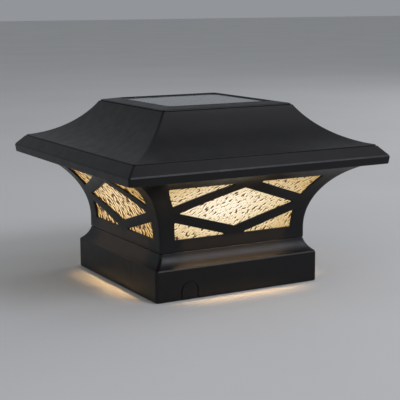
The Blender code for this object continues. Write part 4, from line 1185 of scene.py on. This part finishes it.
def make_camera():
    """The view from the left of the front, a little above the roof's brim."""
    camera = bpy.data.cameras.new("camera")
    camera.sensor_width = 36.0
    camera.lens = CAMERA_LENS
    camera.clip_start = 0.01
    holder = add_object("camera", camera)
    forward = Vector(CAMERA_AIM).normalized()
    level = forward.cross(Vector((0, 0, 1))).normalized()
    upright = level.cross(forward)
    cos, sin = math.cos(CAMERA_ROLL), math.sin(CAMERA_ROLL)
    right, up = level * cos + upright * sin, upright * cos - level * sin
    turn = Matrix((right, up, -forward)).transposed().to_4x4()
    holder.matrix_world = Matrix.Translation(CAMERA_PLACE) @ turn
    bpy.context.scene.camera = holder
    bpy.context.scene.view_settings.view_transform = "Standard"


# ---- assembly


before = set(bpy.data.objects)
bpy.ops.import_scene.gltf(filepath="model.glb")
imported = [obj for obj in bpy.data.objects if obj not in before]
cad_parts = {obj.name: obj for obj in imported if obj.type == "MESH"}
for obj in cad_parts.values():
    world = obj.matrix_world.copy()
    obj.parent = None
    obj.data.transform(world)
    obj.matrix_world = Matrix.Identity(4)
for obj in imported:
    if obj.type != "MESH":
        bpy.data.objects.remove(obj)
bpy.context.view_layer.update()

coat = powder_coat()
steel = plated_steel()
rubber = moulded("rubber", 0.010, 0.018, 0.7)
grey = moulded("grey_plastic", (0.050, 0.050, 0.054), (0.066, 0.066, 0.070), 0.5)
white = moulded("white_plastic", (0.74, 0.73, 0.69), (0.82, 0.81, 0.77), 0.38, 0.9 * MM)
frosted = frosted_plastic()
board = moulded("cell_board", (0.010, 0.012, 0.018), (0.018, 0.021, 0.030), 0.35)
wrap = moulded("battery_wrap", (0.03, 0.11, 0.33), (0.04, 0.14, 0.40), 0.3)

make_collar(coat)
make_lantern(coat)
make_roof(coat)
make_panes(
    hammered_glass("hammered_glass", (0.98, 0.96, 0.93), 0.425, 1.35 * MM),
    # The side panes' copy: dimmer and more amber, with more painted shade and stronger painted
    # glints, for panes seen edge-on.
    hammered_glass("hammered_glass_shaded_side", (0.78, 0.65, 0.44), 0.525, 1.8 * MM),
)
make_solar_panel(board, solar_cells(), rubber, solar_glass())
make_screws(steel)
make_led_lens(frosted)
make_battery(wrap, steel)
make_battery_door(white)

for node, width, body, finish, slot in (
    ("seat_plate", 0.25 * MM, "lantern", steel, "steel"),
    ("light_tray", 0.3 * MM, "roof", white, "white_plastic"),
    ("switch_body", 0.25 * MM, "roof", grey, "grey_plastic"),
    ("switch_slider", 0.15 * MM, "switch", grey, "grey_plastic"),
):
    add_soft_copy(node, width, body, finish, slot)
repaint(frosted, *["downlight_lens_" + side for side in SIDES])
repaint(grey, "pane_retainer", *["post_spacer_" + side for side in SIDES])
repaint(rubber, "roof_gasket", "lead_grommet")
repaint(steel, "spring_plate", "battery_contact", "battery_spring", "door_pin")
repaint(moulded("white_board", (0.80, 0.80, 0.78), (0.86, 0.86, 0.84), 0.35), "led_board")
repaint(phosphor(), "led_1", "led_2", "led_3", "led_4")
repaint(circuit_board(), "control_board")
repaint(moulded("chip", 0.012, 0.02, 0.45), "controller_chip")
red = moulded("red_insulation", (0.42, 0.015, 0.01), (0.52, 0.025, 0.018), 0.4)
black = moulded("black_insulation", 0.012, 0.02, 0.4)
for use in ("panel", "led", "battery"):
    repaint(red, use + "_lead_red")
    repaint(black, use + "_lead_black")

make_stage()
make_studio()
make_glow()
make_camera()
